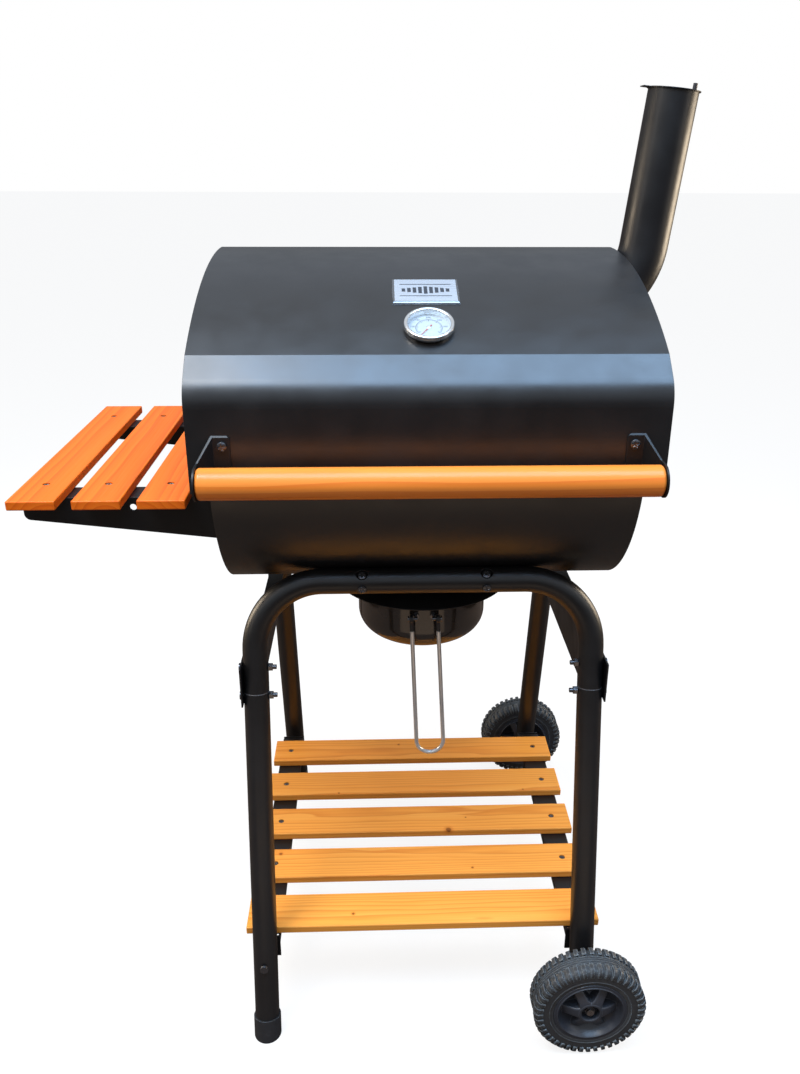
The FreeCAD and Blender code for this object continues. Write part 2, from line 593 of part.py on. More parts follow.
# ------------------------------------------------------------------------------------------ wheels
def wheel_hub(label, front):
    """A moulded hub: rim channel, thin web, six spokes and a boss recessed for the axle nut."""
    body = body_of(label + "_turned", ("leg_x", f"{front} * wheel_y", "wheel_r"), ALONG_Y)
    sketch = body_sketch(body, "XZ_Plane", label + "_section")
    half = "(wheel_width / 2 - hub_sink)"
    bore = "axle_r + bore_gap"
    outline(sketch, (bore, f"-{half} + hub_recess"), [
        ("hub_recess_r", f"-{half} + hub_recess"),
        ("hub_recess_r", f"-{half}"),
        ("hub_r", f"-{half}"),
        ("hub_r", "-web_half"),
        ("rim_lip", "-web_half"),
        ("rim_lip", f"-{half}"),
        ("rim_r", f"-{half}"),
        ("rim_r", half),
        ("rim_lip", half),
        ("rim_lip", "web_half"),
        ("hub_r", "web_half"),
        ("hub_r", half),
        ("hub_recess_r", half),
        ("hub_recess_r", f"{half} - hub_recess"),
        (bore, f"{half} - hub_recess"),
        (bore, f"-{half} + hub_recess"),
    ])
    revolve(body, sketch, label + "_turning")
    spokes = []
    for index in range(6):
        bar = box(f"{label}_spoke_{index}", ("hub_r - 1", "-spoke_half", "-web_half - spoke_height"),
                  "rim_lip - hub_r + 2", "2 * spoke_half", "2 * (web_half + spoke_height)")
        arm = group(f"{label}_arm_{index}", bar)
        arm.Placement = FreeCAD.Placement(V(), FreeCAD.Rotation(V(0, 0, 1), 60 * index))
        spokes.append(arm)
    star = group(label + "_star", *spokes)
    place(star, ("leg_x", f"{front} * wheel_y", "wheel_r"), ALONG_Y)
    return fuse(label, body, star)


def wheel_tyre(label, front):
    body = body_of(label, ("leg_x", f"{front} * wheel_y", "wheel_r"), ALONG_Y)
    sketch = body_sketch(body, "XZ_Plane", label + "_section")
    outline(sketch, ("rim_r", "-wheel_width / 2 + 2"), [
        ("wheel_r - tyre_shoulder", "-wheel_width / 2"),
        ("wheel_r", "-wheel_width / 2 + tyre_shoulder", "tyre_shoulder", 1),
        ("wheel_r", "wheel_width / 2 - tyre_shoulder"),
        ("wheel_r - tyre_shoulder", "wheel_width / 2", "tyre_shoulder", 1),
        ("rim_r", "wheel_width / 2 - 2"),
        ("rim_r", "-wheel_width / 2 + 2"),
    ])
    revolve(body, sketch, label + "_turning")
    return body


for front, end_name in ENDS:
    node(wheel_hub(f"{end_name}_hub", front), f"{end_name}_wheel_hub")
    node(wheel_tyre(f"{end_name}_tyre", front), f"{end_name}_wheel_tyre")
node(rod("axle_rod", ("leg_x", "-axle_half", "wheel_r"), "axle_r", "2 * axle_half", ALONG_Y), "axle")


# ----------------------------------------------------------------------------------------- firebox
def fastener_places():
    """Each screw that holds the firebox to the arches: its name, turn, side, end and depth in the tube."""
    for front, end_name in ENDS:
        for side, side_name in SIDES:
            turn = facing(front, DIMPLE_ANGLE)
            yield f"bolt_{end_name}_{side_name}", turn, side, front, "tube_od / 2 - dimple_depth"
            yield f"screw_{end_name}_{side_name}", facing(front, SCREW_ANGLE), side, front, "tube_od / 2"


def firebox_fasteners():
    screws = []
    for name, turn, side, front, depth in fastener_places():
        out = turn.multVec(V(0, 0, 1))
        at = (f"{side} * stud_x", f"{front} * {ARCH_Y} + {out.y:.6f} * ({depth})",
              f"arch_z + {out.z:.6f} * ({depth})")
        screws.append(screw(f"mount_{name}", at, "screw_r", "6", turn.multiply(DOWNWARD), *PAN_HEAD))
    for front, end_name in ENDS:
        screws.append(screw(f"shelf_bolt_{end_name}",
                            ("-box_half - side_gauge", f"{front} * (side_web_y - 14)",
                             "side_slat_top - slat_thick - 30"), "screw_r", "8", ALONG_X, *PAN_HEAD))
    return group("mounting_set", damper_rivet(), *screws)


def firebox_trough():
    """The rolled barrel half with straight upper walls and an outward lip along both rims."""
    section = free_sketch("trough_section", ("-box_r - rim_flange", "rim_z"), [
        ("-box_r - rim_flange", "rim_z - gauge"),
        ("-box_r", "rim_z - gauge"),
        ("-box_r", "box_z"),
        ("0", "box_z - box_r", "box_r", 1),
        ("box_r", "box_z", "box_r", 1),
        ("box_r", "rim_z - gauge"),
        ("box_r + rim_flange", "rim_z - gauge"),
        ("box_r + rim_flange", "rim_z"),
        ("box_r - gauge", "rim_z"),
        ("box_r - gauge", "box_z"),
        ("0", "box_z - box_r + gauge", "box_r - gauge", -1),
        ("-box_r + gauge", "box_z", "box_r - gauge", -1),
        ("-box_r + gauge", "rim_z"),
        ("-box_r - rim_flange", "rim_z"),
    ])
    shell = extrude("trough_shell", section, V(1, 0, 0), "-box_half", "2 * box_half")
    vent = rod("trough_vent", ("bowl_x", "0", "box_z - box_r - 30"), "vent_r", "60")
    return cut("trough", shell, vent)


def damper_vents(label):
    """Four round air holes in a ring about the damper's rivet."""
    vents = []
    for index in range(4):
        angle = math.radians(45 + 90 * index)
        vents.append(rod(f"{label}_vent_{index}",
                         ("200", f"{math.cos(angle):.6f} * damper_ring",
                          f"damper_z + {math.sin(angle):.6f} * damper_ring"), "damper_hole_r", "100",
                          ALONG_X))
    return vents


def firebox_end(label, side):
    """A flat end plate just inside the barrel's rim; the right one has air holes, the left one bolt holes."""
    inner = "box_half - 2 * gauge"
    line = free_sketch(label + "_line", ("-box_r + gauge", "rim_z"), [
        ("-box_r + gauge", "box_z"),
        ("0", "box_z - box_r + gauge", "box_r - gauge", 1),
        ("box_r - gauge", "box_z", "box_r - gauge", 1),
        ("box_r - gauge", "rim_z"),
        ("-box_r + gauge", "rim_z"),
    ])
    start = inner if side == RIGHT else "-box_half"
    plate = extrude(label + "_plate", line, V(1, 0, 0), start, "gauge")
    if side == RIGHT:
        rivet = rod(label + "_rivet_bore", ("200", "0", "damper_z"), "rivet_r", "100", ALONG_X)
        return cut(label, plate, rivet, *damper_vents(label))
    bolts = [rod(f"{label}_bore_{end_name}",
                 ("-300", f"{front} * (side_web_y - 14)", "side_slat_top - slat_thick - 30"),
                 "screw_r + play", "100", ALONG_X) for front, end_name in ENDS]
    return cut(label, plate, *bolts)


def air_damper():
    """A disc outside the vented end that turns on its rivet to cover or free the four air holes."""
    face = "box_half - gauge + damper_gap"
    disc = rod("damper_disc", (face, "0", "damper_z"), "damper_r", "gauge", ALONG_X)
    knob = rod("damper_knob", (face, "0", "damper_z + damper_r - 7"), "4", "13", ALONG_X)
    bore = rod("damper_bore", ("200", "0", "damper_z"), "rivet_r + bore_gap", "100", ALONG_X)
    return cut("damper_plate", fuse("damper_solid", disc, knob), bore, *damper_vents("damper"))


def damper_rivet():
    shank = rod("rivet_shank", ("box_half - 2 * gauge - 1.5", "0", "damper_z"), "rivet_r",
                "2 * gauge + 2 * damper_gap + 1.5", ALONG_X)
    head = rod("rivet_head", ("box_half + 2 * damper_gap", "0", "damper_z"), "2 * rivet_r", "1.5", ALONG_X)
    tail = rod("rivet_tail", ("box_half - 2 * gauge - 1.5", "0", "damper_z"), "1.6 * rivet_r", "1.5", ALONG_X)
    return fuse("rivet", shank, head, tail)


def grate_ledges():
    strips = []
    for front, end_name in ENDS:
        low_y = "ledge_inner" if front == BACK else "-ledge_outer"
        strips.append(box(f"ledge_{end_name}", ("-box_half + 2 * gauge", low_y, "ledge_z - ledge_gauge"),
                          "2 * box_half - 4 * gauge", "ledge_outer - ledge_inner", "ledge_gauge"))
    return group("ledge_pair", *strips)


def wire_grate(label, low_x, high_x, half_depth, level, count, size, cross_inset):
    """Parallel rods along Y that rest at that level, welded to three cross rods under them."""
    cross = [rod(f"{label}_cross_{index}", (low_x, y, f"{level} - 0.7 * {size}"), size,
                 f"({high_x}) - ({low_x})", ALONG_X)
             for index,
             y in enumerate((f"-{half_depth} + {cross_inset}", "0", f"{half_depth} - {cross_inset}"))]
    bars = [rod(f"{label}_bar_{index}",
                (f"({low_x}) + 4 + {index} * (({high_x}) - ({low_x}) - 8) / {count - 1}", f"-{half_depth}",
                 f"{level} + {size}"), size, f"2 * {half_depth}", ALONG_Y) for index in range(count)]
    return fuse(label, *cross, *bars)


node(firebox_trough(), "firebox_trough")
for side, side_name in SIDES:
    node(firebox_end(f"end_{side_name}_plate", side), f"firebox_end_{side_name}")
node(firebox_fasteners(), "firebox_fasteners")
node(air_damper(), "air_damper")
node(grate_ledges(), "grate_ledges")
INSIDE = "(box_half - 2 * gauge - 2)"
node(wire_grate("cooking_left", f"-{INSIDE}", "-grate_gap / 2", "grate_half_depth", "ledge_z", 14, "rod_r",
                "25"),
     "cooking_grate_left")
node(wire_grate("cooking_right", "grate_gap / 2", INSIDE, "grate_half_depth", "ledge_z", 14, "rod_r", "25"),
     "cooking_grate_right")
node(wire_grate("charcoal", f"-{INSIDE}", INSIDE, "coal_half_depth", "coal_z", 21, "coal_rod_r", "25"),
     "charcoal_grate")


# ---------------------------------------------------------------------------- ash collar and bowl
BAIL_Y = "(-bowl_r - bail_stand)"
STUD_X = "(bail_x - knuckle_x)"


def ash_collar():
    """A flared ring under the barrel's vent that shields its joint with the bowl."""
    body = body_of("collar", ("bowl_x", "0", "0"))
    sketch = body_sketch(body, "XZ_Plane", "collar_section")
    outline(sketch, ("vent_r", "collar_top_z"), [
        ("collar_top_r", "collar_top_z"),
        ("collar_r", "collar_rim_z"),
        ("collar_r", "collar_rim_z + gauge"),
        ("collar_top_r", "collar_top_z + gauge"),
        ("vent_r + gauge", "collar_top_z + gauge"),
        ("vent_r + gauge", "collar_top_z + 9"),
        ("vent_r", "collar_top_z + 9"),
        ("vent_r", "collar_top_z"),
    ])
    revolve(body, sketch, "collar_turning")
    above = rod("collar_clear", ("-300", "0", "box_z"), "box_r", "600", ALONG_X)
    return cut("collar_trimmed", body, above)


def ash_bowl():
    """An enamelled bowl with a rolled rim; its front is drilled for the two bail studs."""
    body = body_of("bowl", ("bowl_x", "0", "0"))
    sketch = body_sketch(body, "XZ_Plane", "bowl_section")
    inner = "bowl_r - bowl_wall"
    outline(sketch, ("0", "bowl_bottom_z"), [
        ("bowl_r - bowl_corner", "bowl_bottom_z"),
        ("bowl_r", "bowl_bottom_z + bowl_corner", "bowl_corner", 1),
        ("bowl_r", "bowl_top_z - bowl_wall"),
        ("bowl_rim_r", "bowl_top_z - bowl_wall"),
        ("bowl_rim_r", "bowl_top_z"),
        (inner, "bowl_top_z"),
        (inner, "bowl_bottom_z + bowl_corner"),
        ("bowl_r - bowl_corner", "bowl_bottom_z + bowl_wall", "bowl_corner - bowl_wall", -1),
        ("0", "bowl_bottom_z + bowl_wall"),
        ("0", "bowl_bottom_z"),
    ])
    revolve(body, sketch, "bowl_turning")
    bores = [rod(f"bowl_bore_{side_name}", (f"bowl_x + {side} * {STUD_X}", "-150", "bail_z"), "stud_r",
                 "100", ALONG_Y)
             for side, side_name in SIDES]
    return cut("bowl_drilled", body, *bores)


def bail_studs():
    """Two studs through the bowl's front; each ends in a knuckle with a headed cross pin for the wire's eye."""
    studs = []
    for side, side_name in SIDES:
        x = f"bowl_x + {side} * {STUD_X}"
        shank = rod(f"stud_shank_{side_name}", (x, BAIL_Y, "bail_z"), "stud_r", "bail_stand + 6", ALONG_Y)
        knuckle = rod(f"stud_knuckle_{side_name}", (f"{x} - knuckle_wide / 2", BAIL_Y, "bail_z"),
                      "stud_knuckle_r",
                      "knuckle_wide", ALONG_X)
        reach = "(knuckle_x + bail_wire_r + eye_room)"
        pin = rod(f"stud_pin_{side_name}", (x if side == RIGHT else f"{x} - {reach}", BAIL_Y, "bail_z"),
                  "stud_r",
                  reach, ALONG_X)
        head_x = f"{x} + {reach}" if side == RIGHT else f"{x} - {reach} - stud_head"
        head = rod(f"stud_head_{side_name}", (head_x, BAIL_Y, "bail_z"), "stud_head_r", "stud_head", ALONG_X)
        collar = rod(f"stud_collar_{side_name}", (x, "-bowl_r - 2", "bail_z"), "stud_head_r", "4", ALONG_Y)
        room = rod(f"stud_room_{side_name}", ("bowl_x", "0", "400"), "bowl_r", "200")
        seat = cut(f"stud_seat_{side_name}", collar, room)
        studs.append(fuse(f"stud_{side_name}", shank, knuckle, pin, head, seat))
    return group("stud_pair", *studs)


def bail():
    """A loop of round wire that hangs a little askew from the studs' pins, with a closed eye at each end."""
    body = body_of("bail_wire", ("bowl_x", BAIL_Y, "bail_z"))
    path = body_sketch(body, "XZ_Plane", "bail_path")
    top = "-eye_r + 2"
    outline(path, ("-bail_x", top), [
        ("-bail_foot_x + bail_sway", "-bail_drop"),
        ("bail_sway", "-bail_drop - bail_foot_x", "bail_foot_x", 1),
        ("bail_foot_x + bail_sway", "-bail_drop", "bail_foot_x", 1),
        ("bail_x", top),
    ])
    section = body_sketch(body, "XY_Plane", "bail_section")
    bind(section, "AttachmentOffset.Base.z", top)
    circle(section, "-bail_x", "0", "bail_wire_r")
    pipe(body, section, path, "bail_sweep")
    eyes, bores = [], []
    for side, side_name in SIDES:
        x = f"bowl_x + {side} * bail_x"
        eyes.append(rod(f"eye_{side_name}", (f"{x} - 0.8 * bail_wire_r", BAIL_Y, "bail_z"), "eye_r",
                        "1.6 * bail_wire_r", ALONG_X))
        bores.append(rod(f"eye_bore_{side_name}", (f"{x} - 10", BAIL_Y, "bail_z"), "stud_r + bore_gap",
                         "20", ALONG_X))
    return cut("bail", fuse("bail_joined", body, *eyes), *bores)


node(ash_collar(), "ash_collar")
node(ash_bowl(), "ash_bowl")
node(bail_studs(), "bail_studs")
node(bail(), "ash_bowl_bail")


# --------------------------------------------------------------------------------------------- lid
SHOULDER = "(lid_back - top_y)"
ROOF = [
    ("-lid_front", "strip_start_z"),
    ("-strip_end_y", "strip_end_z", "strip_r", -1),
    ("-crease_y", "crease_z"),
    ("top_y", "top_z", "top_r", -1),
    ("lid_back", f"top_z - {SHOULDER}", SHOULDER, -1),
]


def roof_height(distance, radius="top_r"):
    """The height of the lid's top arc that far in front of the barrel's axis."""
    return f"top_z - top_r + sqrt(({radius}) ^ 2 - (top_y + ({distance})) ^ 2)"


def lid_sheet():
    """The lid's folded and rolled sheet: the face between the roof line and its inward offset."""
    line = free_sketch("roof_line", ("-lid_front", "lid_edge_z"), ROOF + [("lid_back", "lid_back_z")])
    offset = doc.addObject("Part::Offset2D", "roof_section")
    offset.Source = line
    offset.Mode = "Skin"
    offset.Join = "Intersection"
    offset.Fill = True
    bind(offset, "Value", "gauge")
    return extrude("lid_sheet", offset, V(1, 0, 0), "-lid_half", "2 * lid_half")


def on_gauge(name, thing):
    """Carries a piece drawn about the dial's own axis to the lid's sloping front."""
    moved = group(name, thing)
    place(moved, ("gauge_x", "-gauge_y", roof_height("gauge_y")), tilt="gauge_tilt")
    return moved


def lid_bores():
    """Holes in the lid's sheet for the thermometer stem and the handle and hinge screws."""
    bores = [on_gauge("stem_bore_placed", rod("stem_bore", ("0", "0", "-10"), "stem_r + play", "20"))]
    for side, side_name in SIDES:
        bores.append(rod(f"bracket_bore_{side_name}",
                         (f"{side} * bracket_screw_x", "-300", "bracket_screw_z"),
                         "screw_r + play", "150", ALONG_Y))
        for step in (-1, 1):
            bores.append(rod(f"leaf_bore_{side_name}_{step}",
                             (f"{side} * hinge_x + {step} * leaf_half / 2", "150",
                                                               "leaf_screw_z"), "screw_r + play", "150",
                                                               ALONG_Y))
    return bores


def lid_end(label, side, sheet_solid, passage):
    """A flat end plate that fills the roof line just inside the sheet's edge."""
    line = free_sketch(label + "_line", ("-lid_front", "lid_edge_z"), ROOF + [
        ("lid_back", "lid_back_z"),
        ("lid_side_step", "lid_back_z"),
        ("lid_side_step", "lid_edge_z"),
        ("-lid_front", "lid_edge_z"),
    ])
    start = "lid_half - 1 - gauge" if side == RIGHT else "-lid_half + 1"
    plate = extrude(label + "_plate", line, V(1, 0, 0), start, "gauge")
    return cut(label, plate, sheet_solid, *passage)


def elbow_pipe(name, radius):
    """A straight stack with a bend below it, as a solid bar of that radius."""
    body = body_of(name, ("pipe_x", "pipe_y", "pipe_z"), FreeCAD.Rotation(V(0, 1, 0), 10))
    bind(body, "Placement.Rotation.Angle", "pipe_lean * 1 deg")
    path = body_sketch(body, "XZ_Plane", name + "_path")
    outline(path, ("0", "pipe_len"), [
        ("0", "0"),
        ("-elbow_r * (1 - cos(elbow_turn * 1 deg))", "-elbow_r * sin(elbow_turn * 1 deg)", "elbow_r", -1),
    ])
    section = body_sketch(body, "XY_Plane", name + "_section")
    bind(section, "AttachmentOffset.Base.z", "pipe_len")
    circle(section, "0", "0", radius)
    pipe(body, section, path, name + "_sweep")
    return body


def chimney_parts():
    """The stack, its flange on the lid's right end and the passage that both share."""
    outer = elbow_pipe("stack_outer", "pipe_r")
    passage = elbow_pipe("stack_passage", "pipe_r - pipe_wall")
    overshoot = rod("stack_overshoot", ("0", "0", "pipe_len - 1"), "pipe_r - pipe_wall", "5")
    top = group("stack_mouth", overshoot)
    place(top, ("pipe_x", "pipe_y", "pipe_z"), FreeCAD.Rotation(V(0, 1, 0), 10))
    bind(top, "Placement.Rotation.Angle", "pipe_lean * 1 deg")
    inboard = box("stack_inboard", ("lid_half - 61 + flange_gauge", "-500", "500"), "60", "1000", "1000")
    stack = cut("stack", outer, passage, top, inboard)
    disc = rod("flange_disc", ("lid_half - 1", "pipe_y", "flange_z"), "flange_r", "flange_gauge", ALONG_X)
    return stack, cut("flange", disc, passage), passage


def chimney_cap():
    """A rain cap that swings aside on the pin at its right; its lug is a finger tab."""
    disc = rod("cap_disc", ("0", "0", "pipe_len + cap_gap"), "cap_r", "cap_thick")
    lug = box("cap_lug", ("-cap_r - 7", "-9", "pipe_len + cap_gap"), "10", "18", "cap_thick")
    bore = rod("cap_bore", ("cap_pin_off", "0", "pipe_len - 5"), "cap_pin_r + bore_gap", "20")
    return on_stack("cap", cut("cap_flat", fuse("cap_solid", disc, lug), bore))


def chimney_pin():
    """The cap's pivot pin, welded to a tab inside the stack."""
    pin = rod("pin_rod", ("cap_pin_off", "0", "pipe_len - cap_pin_down"), "cap_pin_r",
              "cap_pin_up + cap_pin_down + cap_thick")
    tab = box("pin_tab", ("cap_pin_off", "-4", "pipe_len - cap_pin_down"), "10", "8", "10")
    room = rod("pin_room", ("0", "0", "0"), "pipe_r - pipe_wall", "pipe_len + 50")
    return on_stack("pin", common("pin_trimmed", fuse("pin_welded", pin, tab), room))


def on_stack(name, thing):
    """Carries a piece drawn about the straight stack's own axis to the leaning stack."""
    moved = group(name, thing)
    place(moved, ("pipe_x", "pipe_y", "pipe_z"), FreeCAD.Rotation(V(0, 1, 0), 10))
    bind(moved, "Placement.Rotation.Angle", "pipe_lean * 1 deg")
    return moved


stack, flange, passage = chimney_parts()
sheet_solid = lid_sheet()
node(cut("lid_drilled", sheet_solid, *lid_bores()), "lid_shell")
for side, side_name in SIDES:
    node(lid_end(f"lid_{side_name}_end", side, sheet_solid, [passage] if side == RIGHT else []),
         f"lid_end_{side_name}")
node(stack, "chimney_pipe")
node(flange, "chimney_flange")
node(chimney_cap(), "chimney_cap")
node(chimney_pin(), "chimney_cap_pin")


# ------------------------------------------------------------------------------------------ hinges
def knuckle(name, middle, low, high):
    """A hinge barrel between two distances from the hinge's middle, not yet bored."""
    return rod(name, (f"{middle} + ({low})", "hinge_y", "hinge_z"), "knuckle_r", f"({high}) - ({low})",
               ALONG_X)


def pin_bore(name):
    return rod(name, ("-400", "hinge_y", "hinge_z"), "pin_r + bore_gap", "800", ALONG_X)


def fixed_leaf(label, side):
    """A Z-shaped leaf from the firebox's rear wall to the two outer knuckles."""
    middle = f"{side} * hinge_x"
    left = f"{middle} - leaf_half"
    foot = box(label + "_foot", (left, "box_r", "leaf_foot_z"), "2 * leaf_half", "leaf_gauge",
               "leaf_step_z - leaf_foot_z")
    arm = box(label + "_arm", (left, "box_r", "leaf_step_z - leaf_gauge"), "2 * leaf_half",
              "hinge_y - box_r + 1",
              "leaf_gauge")
    pieces = [foot, arm]
    for step, low, high in ((LEFT, "-leaf_half", "-knuckle_half - 0.3"),
                            (RIGHT, "knuckle_half + 0.3", "leaf_half")):
        pieces.append(knuckle(f"{label}_knuckle_{step}", middle, low, high))
        pieces.append(box(f"{label}_riser_{step}",
                          (f"{middle} + ({low})", "hinge_y - 1", "leaf_step_z - leaf_gauge"),
                          f"({high}) - ({low})", "2", "hinge_z - leaf_step_z + leaf_gauge"))
    return cut(label, fuse(label + "_joined", *pieces), pin_bore(label + "_bore"))


def moving_leaf(label, side):
    """A bent leaf from the lid's rear wall to the middle knuckle."""
    middle = f"{side} * hinge_x"
    wide = box(label + "_plate", (f"{middle} - leaf_half", "lid_back", "hinge_z + knuckle_r - leaf_gauge"),
               "2 * leaf_half", "leaf_gauge", "leaf_top_z - hinge_z - knuckle_r + leaf_gauge")
    arm = box(label + "_arm", (f"{middle} - knuckle_half", "lid_back", "hinge_z + knuckle_r - leaf_gauge"),
              "2 * knuckle_half", "hinge_y - lid_back", "leaf_gauge")
    barrel = knuckle(label + "_knuckle", middle, "-knuckle_half", "knuckle_half")
    bores = [rod(f"{label}_bore_{step}", (f"{middle} + {step} * leaf_half / 2", "200", "leaf_screw_z"),
                 "screw_r + play", "60", ALONG_Y) for step in (-1, 1)]
    return cut(label, fuse(label + "_joined", wide, arm, barrel), pin_bore(label + "_bore"), *bores)


def hinge_pin(label, side):
    middle = f"{side} * hinge_x"
    shank = rod(label + "_shank", (f"{middle} - leaf_half - 0.3", "hinge_y", "hinge_z"), "pin_r",
                "2 * leaf_half + 1.5",
                ALONG_X)
    head = rod(label + "_head", (f"{middle} - leaf_half - 2.3", "hinge_y", "hinge_z"), "knuckle_r - 0.5",
               "2", ALONG_X)
    return fuse(label, shank, head)


def lid_fasteners():
    """Screws through the brackets, hinge leaves and grip ends, and the nut on the thermometer's stem."""
    screws = [thermometer_nut()]
    for side, side_name in SIDES:
        screws.append(screw(f"bracket_screw_{side_name}",
                            (f"{side} * bracket_screw_x", "-lid_front - wing_gauge", "bracket_screw_z"),
                            "screw_r", "10",
                            ALONG_Y, *PAN_HEAD))
        outward = FreeCAD.Rotation(V(0, 1, 0), -90 * side)
        screws.append(screw(f"grip_screw_{side_name}",
                            (f"{side} * (grip_half + play + wing_gauge)", "-grip_y", "grip_z"),
                            "screw_r", "30", outward))
        for step in (-1, 1):
            screws.append(screw(f"leaf_screw_{side_name}_{step}",
                                (f"{side} * hinge_x + {step} * leaf_half / 2", "lid_back + leaf_gauge",
                                 "leaf_screw_z"),
                                "screw_r", "8", FreeCAD.Rotation(V(1, 0, 0), 90)))
    return group("lid_fastener_set", *screws)


node(group("fixed_leaves", *[fixed_leaf(f"fixed_{side_name}", side) for side, side_name in SIDES]),
     "hinge_leaves_body")
node(group("moving_leaves", *[moving_leaf(f"moving_{side_name}", side) for side, side_name in SIDES]),
     "hinge_leaves_lid")
node(group("hinge_pin_pair", *[hinge_pin(f"pin_{side_name}", side) for side, side_name in SIDES]),
     "hinge_pins")


# ------------------------------------------------------------------------------------------ handle
def handle_bracket(label, side):
    """A folded bracket: a flange on the lid's front wall and a wing that spreads to the grip's end."""
    wall, tip = "-lid_front", "-grip_y - grip_r - 1"
    face = "grip_half + play"
    bend_y = "-grip_y + 14"
    plan = free_sketch(label + "_plan", (f"{side} * (fold_x - bracket_width)", wall), [
        (f"{side} * (fold_x + 1)", wall),
        (f"{side} * ({face} + wing_gauge)", bend_y),
        (f"{side} * ({face} + wing_gauge)", tip),
        (f"{side} * ({face})", tip),
        (f"{side} * ({face})", bend_y),
        (f"{side} * (fold_x - 1)", f"{wall} - wing_gauge"),
        (f"{side} * (fold_x - bracket_width)", f"{wall} - wing_gauge"),
        (f"{side} * (fold_x - bracket_width)", wall),
    ], FreeCAD.Rotation())
    strip = extrude(label + "_strip", plan, V(0, 0, 1), "bracket_low - 3", "bracket_top - bracket_low + 3")
    profile = free_sketch(label + "_profile", (wall, "bracket_top"), [
        (bend_y, "grip_z + grip_r + 1"),
        ("-grip_y", "grip_z + grip_r + 1"),
        ("-grip_y - grip_r - 1", "grip_z", "grip_r + 1", 1),
        ("-grip_y", "grip_z - grip_r - 1", "grip_r + 1", 1),
        (wall, "bracket_low"),
        (wall, "bracket_top"),
    ])
    side_cut = extrude(label + "_side_cut", profile, V(1, 0, 0), f"{side} * 230 - 50", "100")
    inner = f"{side} * (fold_x - bracket_width)"
    front_view = free_sketch(label + "_front_view", (inner, "bracket_low - 5"), [
        (inner, "bracket_top - 5"),
        (f"{inner} + {side} * 5", "bracket_top", "5", -side),
        (f"{side} * 260", "bracket_top"),
        (f"{side} * 260", "bracket_low - 5"),
        (inner, "bracket_low - 5"),
    ], FreeCAD.Rotation(V(1, 0, 0), 90))
    front_cut = extrude(label + "_front_cut", front_view, V(0, 1, 0), "-300", "100")
    bores = [rod(label + "_screw_bore", (f"{side} * bracket_screw_x", "-300", "bracket_screw_z"),
                 "screw_r + play", "150",
                 ALONG_Y),
             rod(label + "_grip_bore", (f"{side} * 250 - 20", "-grip_y", "grip_z"), "screw_r + play", "40",
                 ALONG_X)]
    return cut(label, common(label + "_shape", strip, side_cut, front_cut), *bores)


def handle_grip():
    """A turned wooden bar with rounded ends, drilled for a screw at each end."""
    body = body_of("grip", ("0", "-grip_y", "grip_z"))
    sketch = body_sketch(body, "XZ_Plane", "grip_section")
    outline(sketch, ("-grip_half", "0"), [
        ("-grip_half", "grip_r - grip_round"),
        ("-grip_half + grip_round", "grip_r", "grip_round", -1),
        ("grip_half - grip_round", "grip_r"),
        ("grip_half", "grip_r - grip_round", "grip_round", -1),
        ("grip_half", "0"),
        ("-grip_half", "0"),
    ])
    revolve(body, sketch, "grip_turning", "H_Axis")
    bores = [rod(f"grip_bore_{side_name}", (f"{side} * (grip_half - 15) - 15", "-grip_y", "grip_z"),
                 "screw_r", "30",
                 ALONG_X) for side, side_name in SIDES]
    return cut("grip_drilled", body, *bores)


for side, side_name in SIDES:
    node(handle_bracket(f"bracket_{side_name}", side), f"handle_bracket_{side_name}")
node(handle_grip(), "handle_grip")


# --------------------------------------------------------------------------- thermometer and badge
def thermometer_case():
    body = body_of("gauge_case")
    sketch = body_sketch(body, "XZ_Plane", "gauge_case_section")
    rim = "case_r - bezel_width"
    outline(sketch, ("0", "-stem_len"), [
        ("stem_r", "-stem_len"),
        ("stem_r", "play"),
        ("case_r - 4", "play"),
        ("case_r - 3", "3"),
        ("case_r", "5"),
        ("case_r", "case_depth - 2"),
        ("case_r - 2", "case_depth", "2", 1),
        (f"{rim} + 1", "case_depth"),
        (rim, "case_depth - 1"),
        (rim, "case_depth - dial_sink"),
        ("0", "case_depth - dial_sink"),
        ("0", "-stem_len"),
    ])
    revolve(body, sketch, "gauge_case_turning")
    bore = rod("pointer_seat", ("0", "0", "case_depth - dial_sink - 1"), "pointer_r + 0.3", "5")
    return on_gauge("gauge_case_placed", cut("gauge_case_bored", body, bore))


def thermometer_dial():
    disc = rod("dial_disc", ("0", "0", "case_depth - dial_sink"), "case_r - bezel_width", "dial_thick")
    bore = rod("dial_bore", ("0", "0", "0"), "pointer_r + bore_gap", "20")
    return on_gauge("dial_placed", cut("dial_ring", disc, bore))


NEEDLE_REST = -125


def thermometer_pointer():
    """A tapered needle on a small shaft that runs in the dial's bore; cold, it lies at the lower left."""
    level = "case_depth - dial_sink + dial_thick + 0.3"
    shaft = rod("pointer_shaft", ("0", "0", "case_depth - dial_sink - 0.5"), "pointer_r", "dial_thick + 1.4")
    boss = rod("pointer_boss", ("0", "0", level), "2 * pointer_r", "pointer_thick")
    needle = free_sketch("needle_line", ("-pointer_len / 3", "-0.8"), [
        ("pointer_len", "-0.2"),
        ("pointer_len", "0.2"),
        ("-pointer_len / 3", "0.8"),
        ("-pointer_len / 3", "-0.8"),
    ], FreeCAD.Rotation(V(0, 0, 1), NEEDLE_REST))
    blade = extrude("pointer_blade", needle, V(0, 0, 1), level, "pointer_thick")
    return on_gauge("pointer_placed", fuse("pointer_solid", shaft, boss, blade))


def thermometer_lens():
    return on_gauge("lens_placed",
                    rod("lens_disc", ("0", "0", "case_depth - 1.2"), "case_r - bezel_width", "0.8"))


